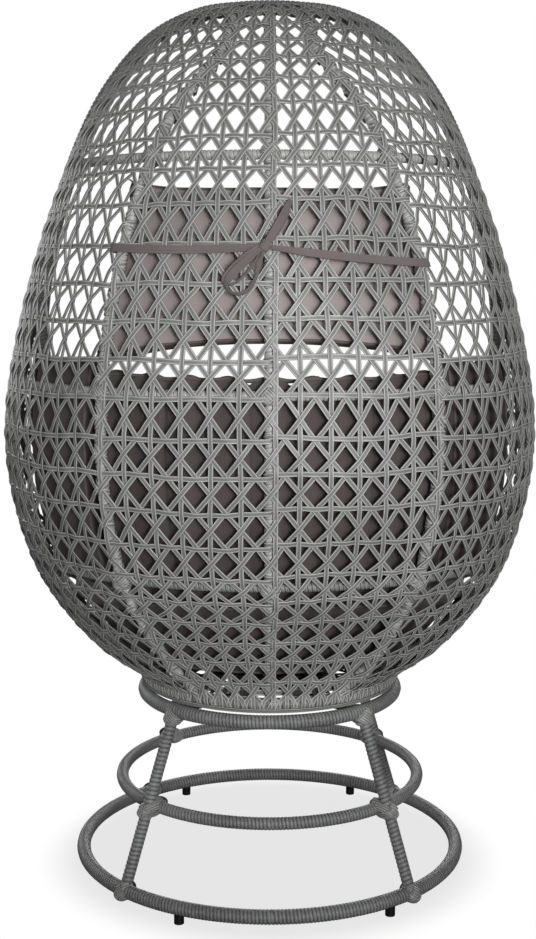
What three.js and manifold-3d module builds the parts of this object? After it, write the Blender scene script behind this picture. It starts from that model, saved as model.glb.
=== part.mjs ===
// Pod chair: an open-woven, egg-shaped basket that turns on a three-ring base.
// Millimetres, +Z up. The sitter faces +Y. The origin is on the swivel axis, at floor level.
import * as THREE from 'three';
import { mergeVertices } from 'three/addons/utils/BufferGeometryUtils.js';
import Module from 'manifold-3d';

const wasm = await Module();
wasm.setup();

// Shared values
const clearance = 0.3; // gap left between pieces that touch
const overrun = 4; // how far a cutting shape passes a face
const weldDistance = 0.001; // vertices closer than this are one
const sampleStepShare = 0.001; // step in angle and level for a slope

// Base: tube sizes are over the wrapping
const footHeight = 14;
const footDiameter = 17;
const footAngles = [37, 152, 211, 335]; // degrees from straight behind, as they stand under the ring
const footSides = 12;
const floorRingRadius = 345;
const floorRingTube = 25;
const midRingTube = 22;
const midRingHeight = 158;
const topRingRadius = 229;
const topRingTube = 25;
const topRingHeight = 320;
const legTube = 19.6;
const legAngles = [45, 135, 225, 315];
const legNames = ['back_right', 'front_right', 'front_left', 'back_left'];
const baseTurn = -1; // degrees that the base stands turned under the basket
const crossBarTube = 19;
const ringSides = 8;
const ringSteps = 36;
const tubeSides = 8;

// Swivel
const plateWidth = 150;
const plateThickness = 5;
const raceOuterRadius = 56;
const raceInnerRadius = 40;
const raceHeight = 12;
const raceGroove = 2.5;
const spindleRadius = 10;
const spindleClearance = 0.35;
const boltRadius = 4;
const boltHeadRadius = 6.5;
const boltHeadHeight = 5;
const boltCircleRadius = 84;
const boltGrip = 15; // length of bolt inside the bar that it holds
const swivelSides = 20;

// Basket: the egg that the outer face of the weave follows
const hoopHeight = 350; // centre of the bottom hoop's tube
const hoopRadius = 222;
const hoopTube = 22;
const basketHeight = 1192; // from the hoop's centre to the crown
const basketHalfWidth = 475;
const backReach = 427; // furthest back from the swivel axis
const frontReach = 470; // the same in front, before the opening is cut
const centreShift = 40; // the widest line lies this far in front of the axis
// Each level over the hoop: share of basketHeight, of basketHalfWidth, of backReach, of frontReach, of
// centreShift, the share of frontReach at which the opening is cut, and of the back ribs' angle
const levelColumns = ['height', 'side', 'back', 'front', 'centre', 'cut', 'rib'];
const levelShares = [
  [0.044, 0.657, 0.576, 0.64, 0.25, 1.1, 0.93],
  [0.112, 0.817, 0.698, 0.8, 0.65, 0.955, 0.94],
  [0.188, 0.922, 0.848, 0.912, 0.9, 0.862, 0.965],
  [0.297, 0.992, 0.972, 0.99, 1, 0.72, 0.975],
  [0.407, 1, 1, 1, 1, 0.5, 0.985],
  [0.55, 0.933, 0.97, 0.936, 1, 0.28, 1],
  [0.702, 0.817, 0.869, 0.834, 1, 0.15, 0.95],
  [0.828, 0.68, 0.674, 0.702, 1, 0.062, 0.81],
  [0.921, 0.52, 0.417, 0.557, 1, 0.02, 0.5],
  [0.979, 0.32, 0.171, 0.366, 1, 0, 0.66],
  [1, 0, -0.094, 0.085, 1, -0.005, 0.8],
];
const hoopCutShare = 1.2; // the cut passes clear of the egg at the hoop
const hoopRibShare = 0.93; // the back ribs' angle at the hoop
const curveTensionShare = 0.5;
const rimTube = 27;
const rimInset = 6; // centre of the rim's tube below the egg's face
const rimSteps = 52;
const ribTube = 16;
const railTube = 14;
const railEndShare = 0.3; // a rail's end lies this share of the rib's tube from its centre
const railSlack = 5.2; // room between the flat faces of a weave panel and a rail
const weaveThickness = 4;
const backRibAngle = 35.5; // degrees from the centre back, at the widest
const sideRibAngle = 90;
const frontRibAngle = 180;
const railHeights = { top_rail: 1262, waist_rail: 889, lower_rail: 571 };
const bottomBarTube = 18;
const bottomWeaveSetback = 19; // from the hoop's centre line in to the bottom weave's edge
const backColumns = 4;
const sideColumns = 7;
const frontColumns = 7;
const panelRows = 16;
const openingWidthShare = 0.62; // of a column
const openingHeightShare = 0.7; // above and below an opening's middle, of a row
const openingFootShare = 0.5; // width of its top and foot, of its full width
const frontSolidRows = 2; // left whole along the hoop and the rim, where the rows are short

// Cushions
const cushionEdgeShare = 0.42; // thickness at the seam, of the full thickness
const crownPower = 4; // how flat the middle of a cushion is
const cushionBackBulge = 8; // how far the face against the wall stands out past the seam
const cushionPull = 0.035; // share by which a side is drawn in halfway between its corners
const seatThickness = 150;
const seatInsetShare = 1.56; // the wall slopes there, so its thickness spans more on the level
const seatCellCount = 12;
// slack is room for the faces of cushion and frame, which are flat between their points
const backCushion = { low: 492, high: 903, thickness: 96, slack: 1.6 };
const sideCushion = { low: 530, high: 940, thickness: 66, slack: 0.2 };
const headPillow = { low: 948, high: 1230, thickness: 112, arch: 28, slack: 2.7 };
const backCushionAngle = 38.5; // degrees from the centre back to its edge
const sideCushionAngles = [42.5, 66.5];
const headPillowAngle = 38.5;
const backFluteCount = 9;
const sideFluteCount = 2;
const fluteDepthShare = 0.12;
const cushionRows = 7;
const fluteColumns = 3; // columns of faces on one flute
const pillowColumns = 12;

// Pillow tie: a flat tape round the outside of the weave, with its knot on the centre rib
const tieHeight = 1112;
const tieWidth = 13;
const tieThickness = 2;
const tieStandOff = 0.9; // the tape lies across the flat faces of the weave
const tieColumns = 12;
const tieKnotWidth = 26;
const tieKnotThickness = 9;

const strandLight = 0x8d928f;
const strandDark = 0x6f7471;
const clothColour = 0x6b6362;
const tapeColour = 0x7d7272;
const steelColour = 0x3c3e3f;
const footColour = 0x141414;

const chair = new THREE.Group();

function material(colour, roughness, metalness = 0) {
  return new THREE.MeshStandardMaterial({ color: colour, roughness, metalness });
}

const finishes = {
  strand: () => material(strandLight, 0.6),
  wrapping: () => material(strandDark, 0.6),
  cloth: () => material(clothColour, 0.95),
  tape: () => material(tapeColour, 0.9),
  steel: () => material(steelColour, 0.45, 0.8),
  foot: () => material(footColour, 0.7),
};

function toSolid(geometry) {
  const bare = geometry.clone();
  bare.deleteAttribute('normal');
  bare.deleteAttribute('uv');
  const merged = mergeVertices(bare, weldDistance);
  return new wasm.Manifold(new wasm.Mesh({
    numProp: 3,
    vertProperties: new Float32Array(merged.attributes.position.array),
    triVerts: new Uint32Array(merged.index.array),
  }));
}

function toGeometry(solid) {
  const mesh = solid.getMesh();
  const geometry = new THREE.BufferGeometry();
  geometry.setAttribute('position', new THREE.BufferAttribute(new Float32Array(mesh.vertProperties), 3));
  geometry.setIndex(new THREE.BufferAttribute(new Uint32Array(mesh.triVerts), 1));
  geometry.computeVertexNormals();
  return geometry;
}

function cut(geometry, ...tools) {
  const solid = tools.reduce((rest, tool) => rest.subtract(toSolid(tool)), toSolid(geometry));
  return toGeometry(solid);
}

function addPiece(name, geometry, finish, parent = chair) {
  const mesh = new THREE.Mesh(geometry, finishes[finish]());
  mesh.name = name;
  parent.add(mesh);
  return mesh;
}

// The left-hand piece of a pair is the right-hand one seen in a mirror, with its faces turned back out
function addPair(name, geometry, finish) {
  addPiece(`${name}_right`, geometry, finish);
  const mirrored = geometry.clone().scale(-1, 1, 1);
  const index = mirrored.index.array;
  for (let corner = 0; corner < index.length; corner += 3) {
    [index[corner], index[corner + 1]] = [index[corner + 1], index[corner]];
  }
  mirrored.computeVertexNormals();
  addPiece(`${name}_left`, mirrored, finish);
}

const radians = THREE.MathUtils.degToRad;

// A direction on the floor, counted from straight behind, towards +X
function outward(degrees) {
  return new THREE.Vector3(Math.sin(radians(degrees)), -Math.cos(radians(degrees)), 0);
}

function ringGeometry(radius, tube, height, sides = ringSides, steps = ringSteps) {
  return new THREE.TorusGeometry(radius, tube / 2, sides, steps).translate(0, 0, height);
}

// A closed tube whose rings stand at the given points, each square to the bend there
function tubeGeometry(points, tube, sides = tubeSides) {
  const count = points.length;
  const tangents = points.map((point, index) => {
    const before = points[Math.max(0, index - 1)];
    const after = points[Math.min(count - 1, index + 1)];
    return after.clone().sub(before).normalize();
  });
  let across = new THREE.Vector3(0, 0, 1).cross(tangents[0]);
  if (across.lengthSq() < sampleStepShare) across = new THREE.Vector3(0, 1, 0).cross(tangents[0]);
  const positions = [];
  points.forEach((point, index) => {
    across = across.addScaledVector(tangents[index], -across.dot(tangents[index])).normalize();
    const up = tangents[index].clone().cross(across);
    for (let side = 0; side < sides; side += 1) {
      const turn = (2 * Math.PI * side) / sides;
      const rim = point.clone().addScaledVector(across, (Math.cos(turn) * tube) / 2);
      positions.push(...rim.addScaledVector(up, (Math.sin(turn) * tube) / 2).toArray());
    }
  });
  const index = [];
  for (let ring = 0; ring < count - 1; ring += 1) {
    for (let side = 0; side < sides; side += 1) {
      const here = ring * sides + side;
      const next = ring * sides + ((side + 1) % sides);
      index.push(here, next, next + sides, here, next + sides, here + sides);
    }
  }
  const last = (count - 1) * sides;
  for (let side = 1; side < sides - 1; side += 1) {
    index.push(0, side + 1, side, last, last + side, last + side + 1);
  }
  const geometry = new THREE.BufferGeometry();
  geometry.setAttribute('position', new THREE.Float32BufferAttribute(positions, 3));
  geometry.setIndex(index);
  geometry.computeVertexNormals();
  return geometry;
}

function barGeometry(start, end, tube, sides = tubeSides) {
  return tubeGeometry([start, end], tube, sides);
}

function postGeometry(radius, low, high, sides = swivelSides) {
  const post = new THREE.CylinderGeometry(radius, radius, high - low, sides);
  return post.rotateX(Math.PI / 2).translate(0, 0, (low + high) / 2);
}

// Base
const base = new THREE.Group();
base.rotation.z = radians(baseTurn);
chair.add(base);
const floorRingHeight = footHeight + floorRingTube / 2;
// The legs pass outside the mid ring and rest on it
const midRingShare = (midRingHeight - floorRingHeight) / (topRingHeight - floorRingHeight);
const legRadiusThere = THREE.MathUtils.lerp(floorRingRadius, topRingRadius, midRingShare);
const midRingRadius = legRadiusThere - (legTube + midRingTube) / 2;
const grown = (tube) => tube + 2 * clearance;

addPiece('floor_ring', ringGeometry(floorRingRadius, floorRingTube, floorRingHeight), 'wrapping', base);
addPiece('mid_ring', ringGeometry(midRingRadius, midRingTube, midRingHeight), 'wrapping', base);
addPiece('top_ring', ringGeometry(topRingRadius, topRingTube, topRingHeight), 'wrapping', base);

const ringCutters = [
  ringGeometry(floorRingRadius, grown(floorRingTube), floorRingHeight),
  ringGeometry(midRingRadius, grown(midRingTube), midRingHeight),
  ringGeometry(topRingRadius, grown(topRingTube), topRingHeight),
];
legAngles.forEach((angle, index) => {
  const top = outward(angle).multiplyScalar(topRingRadius).setZ(topRingHeight);
  const bottom = outward(angle).multiplyScalar(floorRingRadius).setZ(floorRingHeight);
  const leg = cut(barGeometry(top, bottom, legTube, ringSides), ...ringCutters);
  addPiece(`leg_${legNames[index]}`, leg, 'wrapping', base);
});

footAngles.forEach((angle, index) => {
  const place = outward(angle).multiplyScalar(floorRingRadius);
  const foot = postGeometry(footDiameter / 2, 0, floorRingHeight, footSides);
  foot.translate(place.x, place.y, 0);
  addPiece(`foot_${index + 1}`, cut(foot, ringCutters[0]), 'foot', base);
});

// One long bar crosses the top ring, and a short one meets it from each side
const crossEnds = legAngles.map((angle) => outward(angle).multiplyScalar(topRingRadius).setZ(topRingHeight));
const crossCentre = new THREE.Vector3(0, 0, topRingHeight);
const longBar = barGeometry(crossEnds[0], crossEnds[2], crossBarTube);
addPiece('cross_bar_long', cut(longBar, ringCutters[2]), 'wrapping', base);
const longBarCutter = barGeometry(crossEnds[0], crossEnds[2], grown(crossBarTube));
[['cross_bar_short_right', crossEnds[1]], ['cross_bar_short_left', crossEnds[3]]].forEach(([name, end]) => {
  const bar = barGeometry(crossCentre, end, crossBarTube - 2 * clearance);
  addPiece(name, cut(bar, ringCutters[2], longBarCutter), 'wrapping', base);
});

// Swivel, from the base upwards
const lowerPlateLow = topRingHeight + crossBarTube / 2 + clearance;
const lowerPlateHigh = lowerPlateLow + plateThickness;
const raceLow = lowerPlateHigh + clearance;
const raceHigh = raceLow + raceHeight;
const upperPlateLow = raceHigh + clearance;
const upperPlateHigh = upperPlateLow + plateThickness;
const bottomBarHeight = upperPlateHigh + clearance + bottomBarTube / 2;
const spindleHole = spindleRadius + spindleClearance;

function plateGeometry(low, high) {
  const plate = new THREE.BoxGeometry(plateWidth, plateWidth, high - low).translate(0, 0, (low + high) / 2);
  return cut(plate, postGeometry(spindleHole, low - overrun, high + overrun));
}

addPiece('swivel_lower_plate', plateGeometry(lowerPlateLow, lowerPlateHigh), 'steel', base);
const raceMiddle = (raceLow + raceHigh) / 2;
const raceProfile = [
  [raceInnerRadius, raceLow], [raceOuterRadius, raceLow],
  [raceOuterRadius, raceMiddle - raceGroove], [raceOuterRadius - raceGroove, raceMiddle],
  [raceOuterRadius, raceMiddle + raceGroove], [raceOuterRadius, raceHigh],
  [raceInnerRadius, raceHigh], [raceInnerRadius, raceLow],
].map(([radius, height]) => new THREE.Vector2(radius, height));
const race = new THREE.LatheGeometry(raceProfile, swivelSides).rotateX(Math.PI / 2);
addPiece('swivel_race', race, 'steel', base);

const boltHoles = legAngles.map((angle) => {
  const place = outward(angle).multiplyScalar(boltCircleRadius);
  const holeHigh = upperPlateHigh + boltGrip + clearance;
  const hole = postGeometry(boltRadius + clearance, upperPlateLow - overrun, holeHigh, tubeSides);
  return hole.translate(place.x, place.y, 0);
});
addPiece('swivel_upper_plate', cut(plateGeometry(upperPlateLow, upperPlateHigh), ...boltHoles), 'steel');
addPiece('swivel_spindle', postGeometry(spindleRadius, lowerPlateLow + clearance, upperPlateHigh), 'steel');
const boltHeadHigh = upperPlateLow - clearance;
const boltProfile = [
  [0, boltHeadHigh - boltHeadHeight], [boltHeadRadius, boltHeadHigh - boltHeadHeight],
  [boltHeadRadius, boltHeadHigh], [boltRadius, boltHeadHigh],
  [boltRadius, upperPlateHigh + boltGrip], [0, upperPlateHigh + boltGrip],
].map(([radius, height]) => new THREE.Vector2(radius, height));
legAngles.forEach((angle, index) => {
  const place = outward(angle).multiplyScalar(boltCircleRadius);
  const bolt = new THREE.LatheGeometry(boltProfile, tubeSides).rotateX(Math.PI / 2);
  addPiece(`plate_bolt_${index + 1}`, bolt.translate(place.x, place.y, 0), 'steel');
});

// The egg's face. Angle is in degrees from the centre back; level runs from 0 at the hoop to 1 at the crown.
function levelCurve(name, size, atHoop) {
  const column = levelColumns.indexOf(name);
  const points = [new THREE.Vector3(atHoop, 0, hoopHeight)];
  for (const row of levelShares) {
    points.push(new THREE.Vector3(row[column] * size, 0, hoopHeight + row[0] * basketHeight));
  }
  return new THREE.CatmullRomCurve3(points, false, 'catmullrom', curveTensionShare);
}

const sideCurve = levelCurve('side', basketHalfWidth, hoopRadius);
const backCurve = levelCurve('back', backReach, hoopRadius);
const frontCurve = levelCurve('front', frontReach, hoopRadius);
const centreCurve = levelCurve('centre', centreShift, 0);
const cutCurve = levelCurve('cut', frontReach, frontReach * hoopCutShare);
const backRibCurve = levelCurve('rib', backRibAngle, backRibAngle * hoopRibShare);

// The back ribs close in towards the crown; the others keep their angle
function ribAngleAt(rib, level) {
  return rib === backRibAngle ? backRibCurve.getPoint(level).x : rib;
}

function eggPoint(angle, level) {
  const side = sideCurve.getPoint(level);
  const centre = centreCurve.getPoint(level).x;
  const turn = radians(angle);
  const behind = Math.cos(turn) > 0;
  const reach = behind ? backCurve.getPoint(level).x + centre : frontCurve.getPoint(level).x - centre;
  return new THREE.Vector3(side.x * Math.sin(turn), centre - reach * Math.cos(turn), side.z);
}

function eggNormal(angle, level) {
  const angleStep = sampleStepShare * frontRibAngle;
  const lower = Math.max(0, level - sampleStepShare);
  const around = eggPoint(angle + angleStep, level).sub(eggPoint(angle - angleStep, level));
  const up = eggPoint(angle, Math.min(1, level + sampleStepShare)).sub(eggPoint(angle, lower));
  return around.cross(up).normalize();
}

function insetPoint(angle, level, inset) {
  return eggPoint(angle, level).addScaledVector(eggNormal(angle, level), -inset);
}

// Halving a bracket until it closes on the place where a rising function passes zero
function rootOf(rising) {
  const halvings = 40;
  let low = 0;
  let high = 1;
  for (let step = 0; step < halvings; step += 1) {
    const middle = (low + high) / 2;
    if (rising(middle) > 0) high = middle;
    else low = middle;
  }
  return (low + high) / 2;
}

const levelAt = (height) => rootOf((level) => sideCurve.getPoint(level).z - height);
const rimLevelOn = (angleAt) => rootOf((level) => eggPoint(angleAt(level), level).y - cutCurve.getPoint(level).x);
const rimLevel = (angle) => rimLevelOn(() => angle);

// Basket frame
const hoopCutter = ringGeometry(hoopRadius, grown(hoopTube), hoopHeight);
addPiece('bottom_hoop', ringGeometry(hoopRadius, hoopTube, hoopHeight), 'wrapping');

const barReach = hoopRadius - clearance;
const barEnds = legAngles.map((angle) => outward(angle).multiplyScalar(barReach).setZ(bottomBarHeight));
const barCentre = new THREE.Vector3(0, 0, bottomBarHeight);
const longBottomBar = barGeometry(barEnds[0], barEnds[2], bottomBarTube);
addPiece('bottom_bar_long', cut(longBottomBar, hoopCutter, ...boltHoles), 'wrapping');
const longBottomBarCutter = barGeometry(barEnds[0], barEnds[2], grown(bottomBarTube));
[['bottom_bar_short_right', barEnds[1]], ['bottom_bar_short_left', barEnds[3]]].forEach(([name, end]) => {
  const bar = barGeometry(barCentre, end, bottomBarTube - 2 * clearance);
  addPiece(name, cut(bar, hoopCutter, longBottomBarCutter, ...boltHoles), 'wrapping');
});

const rimAngles = [0, 40, 65, 78, 85, 90, 97, 106, 116, 128, 141, 153, 166, 180];
const rimHalf = rimAngles.map((angle) => insetPoint(angle, rimLevel(angle), rimInset));
const rimOther = rimHalf.slice(1, -1).reverse().map((point) => point.clone().setX(-point.x));
const rimPath = new THREE.CatmullRomCurve3([...rimHalf, ...rimOther], true, 'centripetal');
const rimShape = (tube) => new THREE.TubeGeometry(rimPath, rimSteps, tube / 2, tubeSides, true);
const rimCutter = rimShape(grown(rimTube));
// It is bent from two tubes, which meet at the crown and at the front
const otherHalf = new THREE.BoxGeometry(basketHeight, basketHeight, 2 * basketHeight);
otherHalf.translate((clearance - basketHeight) / 2, 0, hoopHeight + basketHeight / 2);
addPair('front_rim', cut(rimShape(rimTube), otherHalf), 'wrapping');

const ribInset = weaveThickness + clearance + ribTube / 2;
const railInset = weaveThickness + railSlack + railTube / 2;
function ribPoints(rib) {
  const top = rimLevelOn((level) => ribAngleAt(rib, level));
  const points = [];
  for (let step = 0; step <= panelRows; step += 1) {
    const level = top * (step / panelRows);
    points.push(insetPoint(ribAngleAt(rib, level), level, ribInset));
  }
  return points;
}

const ribCutters = {};
function ribGeometry(rib) {
  const points = ribPoints(rib);
  ribCutters[rib] = tubeGeometry(points, grown(ribTube));
  return cut(tubeGeometry(points, ribTube), hoopCutter, rimCutter);
}
addPiece('centre_rib', ribGeometry(0), 'wrapping');
addPair('back_rib', ribGeometry(backRibAngle), 'wrapping');
addPair('side_rib', ribGeometry(sideRibAngle), 'wrapping');
addPiece('front_rib', ribGeometry(frontRibAngle), 'wrapping');

const railSpans = [
  ['inner', 0, backRibAngle, backColumns],
  ['outer', backRibAngle, sideRibAngle, sideColumns],
];
for (const [rail, height] of Object.entries(railHeights)) {
  const level = levelAt(height);
  const setBack = THREE.MathUtils.radToDeg((ribTube * railEndShare) / sideCurve.getPoint(level).x);
  for (const [span, start, end, columns] of railSpans) {
    const points = [];
    for (let step = 0; step <= columns; step += 1) {
      const [from, to] = [ribAngleAt(start, level) + setBack, ribAngleAt(end, level) - setBack];
      points.push(insetPoint(THREE.MathUtils.lerp(from, to, step / columns), level, railInset));
    }
    const tube = cut(tubeGeometry(points, railTube), ribCutters[start], ribCutters[end], rimCutter);
    addPair(`${rail}_${span}`, tube, 'wrapping');
  }
}

// A closed body from two facing grids of points, joined round their edges
function slabGeometry(columns, rows, pointAt) {
  const positions = [];
  const index = [];
  const stride = rows + 1;
  const layer = (columns + 1) * stride;
  for (const side of [0, 1]) {
    for (let column = 0; column <= columns; column += 1) {
      for (let row = 0; row <= rows; row += 1) {
        positions.push(...pointAt(column / columns, row / rows, side).toArray());
      }
    }
  }
  const at = (side, column, row) => side * layer + column * stride + row;
  const quad = (a, b, c, d) => index.push(a, b, c, a, c, d);
  for (let column = 0; column < columns; column += 1) {
    for (let row = 0; row < rows; row += 1) {
      quad(at(0, column, row), at(0, column + 1, row), at(0, column + 1, row + 1), at(0, column, row + 1));
      quad(at(1, column, row), at(1, column, row + 1), at(1, column + 1, row + 1), at(1, column + 1, row));
    }
    quad(at(0, column, 0), at(1, column, 0), at(1, column + 1, 0), at(0, column + 1, 0));
    quad(at(0, column, rows), at(0, column + 1, rows), at(1, column + 1, rows), at(1, column, rows));
  }
  for (let row = 0; row < rows; row += 1) {
    quad(at(0, 0, row), at(0, 0, row + 1), at(1, 0, row + 1), at(1, 0, row));
    quad(at(0, columns, row), at(1, columns, row), at(1, columns, row + 1), at(0, columns, row + 1));
  }
  const geometry = new THREE.BufferGeometry();
  geometry.setAttribute('position', new THREE.Float32BufferAttribute(positions, 3));
  geometry.setIndex(index);
  geometry.computeVertexNormals();
  return geometry;
}

// Weave: one thin shell between each pair of ribs, with a six-sided opening for each column and two rows
function openworkGeometry(columns, rows, isOpen, pointAt) {
  const positions = [];
  const index = [];
  const known = new Map();
  const at = (side, [column, row]) => {
    const key = [side, column, row].join();
    if (!known.has(key)) {
      known.set(key, known.size);
      positions.push(...pointAt(column / columns, row / rows, side).toArray());
    }
    return known.get(key);
  };
  const quad = (a, b, c, d) => index.push(a, b, c, a, c, d);
  const bothFaces = (a, b, c, d) => {
    quad(at(0, a), at(0, b), at(0, c), at(0, d));
    quad(at(1, a), at(1, d), at(1, c), at(1, b));
  };
  const wall = (a, b) => quad(at(0, a), at(1, a), at(1, b), at(0, b));
  for (let column = 0; column < columns; column += 1) {
    const right = column + 1;
    for (let row = 0; row < rows; row += 2) {
      const [low, middle, high] = [row, row + 1, row + 2];
      if (isOpen(low)) {
        const half = openingWidthShare / 2;
        const foot = half * openingFootShare;
        const centre = column + 1 / 2;
        const edge = [[column, low], [right, low], [right, middle], [right, high], [column, high], [column, middle]];
        const hole = [
          [centre - foot, middle - openingHeightShare], [centre + foot, middle - openingHeightShare],
          [centre + half, middle],
          [centre + foot, middle + openingHeightShare], [centre - foot, middle + openingHeightShare],
          [centre - half, middle],
        ];
        edge.forEach((corner, place) => {
          const next = (place + 1) % edge.length;
          bothFaces(corner, edge[next], hole[next], hole[place]);
          wall(hole[next], hole[place]);
        });
      } else {
        bothFaces([column, low], [right, low], [right, middle], [column, middle]);
        bothFaces([column, middle], [right, middle], [right, high], [column, high]);
      }
    }
    wall([column, 0], [right, 0]);
    wall([right, rows], [column, rows]);
  }
  for (let row = 0; row < rows; row += 1) {
    wall([0, row + 1], [0, row]);
    wall([columns, row], [columns, row + 1]);
  }
  const geometry = new THREE.BufferGeometry();
  geometry.setAttribute('position', new THREE.Float32BufferAttribute(positions, 3));
  geometry.setIndex(index);
  geometry.computeVertexNormals();
  return geometry;
}

function panelGeometry(start, end, columns, solidBand) {
  const seam = clearance / 2;
  const spread = THREE.MathUtils.radToDeg(seam / hoopRadius);
  const isOpen = (row) => row >= solidBand && row < panelRows - solidBand;
  return openworkGeometry(columns, panelRows, isOpen, (across, up, side) => {
    const angleAt = (level) => {
      const [from, to] = [ribAngleAt(start, level) + spread, ribAngleAt(end, level) - spread];
      return THREE.MathUtils.lerp(from, to, across);
    };
    const level = rimLevelOn(angleAt) * up;
    return insetPoint(angleAt(level), level, side * weaveThickness);
  });
}

const panels = [
  ['weave_back', 0, backRibAngle, backColumns, 0],
  ['weave_side', backRibAngle, sideRibAngle, sideColumns, 0],
  ['weave_front', sideRibAngle, frontRibAngle, frontColumns, frontSolidRows],
];
for (const [name, start, end, columns, solidBand] of panels) {
  addPair(name, cut(panelGeometry(start, end, columns, solidBand), hoopCutter, rimCutter), 'strand');
}
const bottomWeaveLow = bottomBarHeight + bottomBarTube / 2 + clearance;
const bottomWeaveRadius = hoopRadius - bottomWeaveSetback;
const bottomWeave = postGeometry(bottomWeaveRadius, bottomWeaveLow, bottomWeaveLow + weaveThickness);
addPiece('weave_bottom', bottomWeave, 'strand');

// Cushions lie against the ribs; the rails, further in, cross them where their backs are rounded
const ribFace = ribInset + ribTube / 2 + clearance;
const seatInset = (railInset + railTube / 2 + clearance) * seatInsetShare;
const smoothEdge = (share) => Math.sqrt(1 - share ** crownPower);

function grooveShare(across, fluteCount) {
  if (!fluteCount) return 0;
  return fluteDepthShare * (1 - Math.abs(Math.sin((fluteCount * Math.PI * (across + 1)) / 2)));
}

// A pad that lies along the inside of the egg between two angles and two heights
function wallPad([from, to], { low, high, thickness, slack, arch = 0 }, fluteCount = 0) {
  const columns = fluteCount ? fluteCount * fluteColumns : pillowColumns;
  const backFace = ribFace + slack;
  const bulge = thickness - cushionBackBulge;
  return slabGeometry(columns, cushionRows, (acrossShare, upShare, side) => {
    const across = 2 * acrossShare - 1;
    const up = 2 * upShare - 1;
    const drawnAcross = across * (1 - cushionPull * (1 - up ** 2));
    const drawnUp = up * (1 - cushionPull * (1 - across ** 2));
    const angle = (from + to) / 2 + ((to - from) / 2) * drawnAcross;
    const lift = arch * (1 - across ** 2) * (1 - upShare);
    const level = levelAt((low + high) / 2 + ((high - low) / 2) * drawnUp + lift);
    const crown = smoothEdge(across) * smoothEdge(up);
    const groove = grooveShare(across, fluteCount);
    const back = cushionBackBulge * (1 - crown) + (thickness / 2) * groove * crown;
    const front = cushionBackBulge + bulge * (cushionEdgeShare + (1 - cushionEdgeShare - groove) * crown);
    return insetPoint(angle, level, backFace + (side ? front : back));
  });
}

const backSpan = [-backCushionAngle, backCushionAngle];
addPiece('back_cushion', wallPad(backSpan, backCushion, backFluteCount), 'cloth');
addPair('side_cushion', wallPad(sideCushionAngles, sideCushion, sideFluteCount), 'cloth');
addPiece('head_pillow', wallPad([-headPillowAngle, headPillowAngle], headPillow), 'cloth');

// The seat pad: a square grid eased into the basket's round plan, which narrows with depth
const seatBottom = bottomWeaveLow + weaveThickness + clearance;
function seatGeometry() {
  const seatMiddle = seatBottom + seatThickness / 2;
  return slabGeometry(seatCellCount, seatCellCount, (acrossShare, alongShare, side) => {
    const across = 2 * acrossShare - 1;
    const along = 2 * alongShare - 1;
    const sideways = across * Math.sqrt(1 - along ** 2 / 2);
    const forward = along * Math.sqrt(1 - across ** 2 / 2);
    const out = Math.min(1, Math.hypot(sideways, forward));
    const half = (seatThickness / 2) * (cushionEdgeShare + (1 - cushionEdgeShare) * smoothEdge(out));
    const height = side ? seatMiddle - half : seatMiddle + half;
    const level = levelAt(height);
    const centre = centreCurve.getPoint(level).x;
    const reach = forward > 0 ? frontCurve.getPoint(level).x - centre : backCurve.getPoint(level).x + centre;
    const width = sideCurve.getPoint(level).x - seatInset;
    return new THREE.Vector3(sideways * width, centre + forward * (reach - seatInset), height);
  });
}
addPiece('seat_cushion', seatGeometry(), 'cloth');

// Pillow tie
const tieGeometry = slabGeometry(tieColumns, 2, (acrossShare, upShare, side) => {
  const across = 2 * acrossShare - 1;
  const angle = ribAngleAt(backRibAngle, levelAt(tieHeight)) * across;
  const nearKnot = Math.abs(across) < 1 / tieColumns;
  const width = nearKnot ? tieKnotWidth : tieWidth;
  const thickness = nearKnot ? tieKnotThickness : tieThickness;
  const level = levelAt(tieHeight + width * (upShare - 1 / 2));
  return insetPoint(angle, level, -tieStandOff - (side ? 0 : thickness));
});
addPiece('pillow_tie', tieGeometry, 'tape');

export default chair;
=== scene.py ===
import math
import random

import bpy
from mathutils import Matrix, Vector, noise
from mathutils.bvhtree import BVHTree
from mathutils.kdtree import KDTree


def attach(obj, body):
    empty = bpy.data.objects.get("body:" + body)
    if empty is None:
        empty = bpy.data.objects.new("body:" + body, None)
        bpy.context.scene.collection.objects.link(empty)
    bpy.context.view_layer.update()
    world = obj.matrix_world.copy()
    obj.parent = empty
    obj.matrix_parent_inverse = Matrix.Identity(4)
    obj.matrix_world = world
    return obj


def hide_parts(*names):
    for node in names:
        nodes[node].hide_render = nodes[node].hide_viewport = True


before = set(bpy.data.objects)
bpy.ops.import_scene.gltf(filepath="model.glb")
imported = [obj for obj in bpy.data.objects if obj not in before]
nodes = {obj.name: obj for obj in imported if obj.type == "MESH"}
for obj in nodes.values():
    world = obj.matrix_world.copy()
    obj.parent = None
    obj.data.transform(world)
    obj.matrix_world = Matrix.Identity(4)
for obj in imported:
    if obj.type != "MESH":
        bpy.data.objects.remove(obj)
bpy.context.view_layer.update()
random.seed(7)
noise.seed_set(7)  # noise_vector differs at every start without it

# the camera, fitted to the three base rings in the photograph
cameraSpec = {
    "place": (-0.0031, -2.636, 1.0782),
    "tiltDown": 7.727,
    "lens": 56.37,
    "sensor": 36,
    "farthest": 60,
}


def setCamera(spec):
    bpy.ops.object.camera_add(location=spec["place"], rotation=(math.radians(90 - spec["tiltDown"]), 0, 0))
    camera = bpy.context.object
    camera.data.lens = spec["lens"]
    camera.data.sensor_width = spec["sensor"]
    camera.data.clip_end = spec["farthest"]
    bpy.context.scene.camera = camera


setCamera(cameraSpec)
print("stage: materials")


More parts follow.
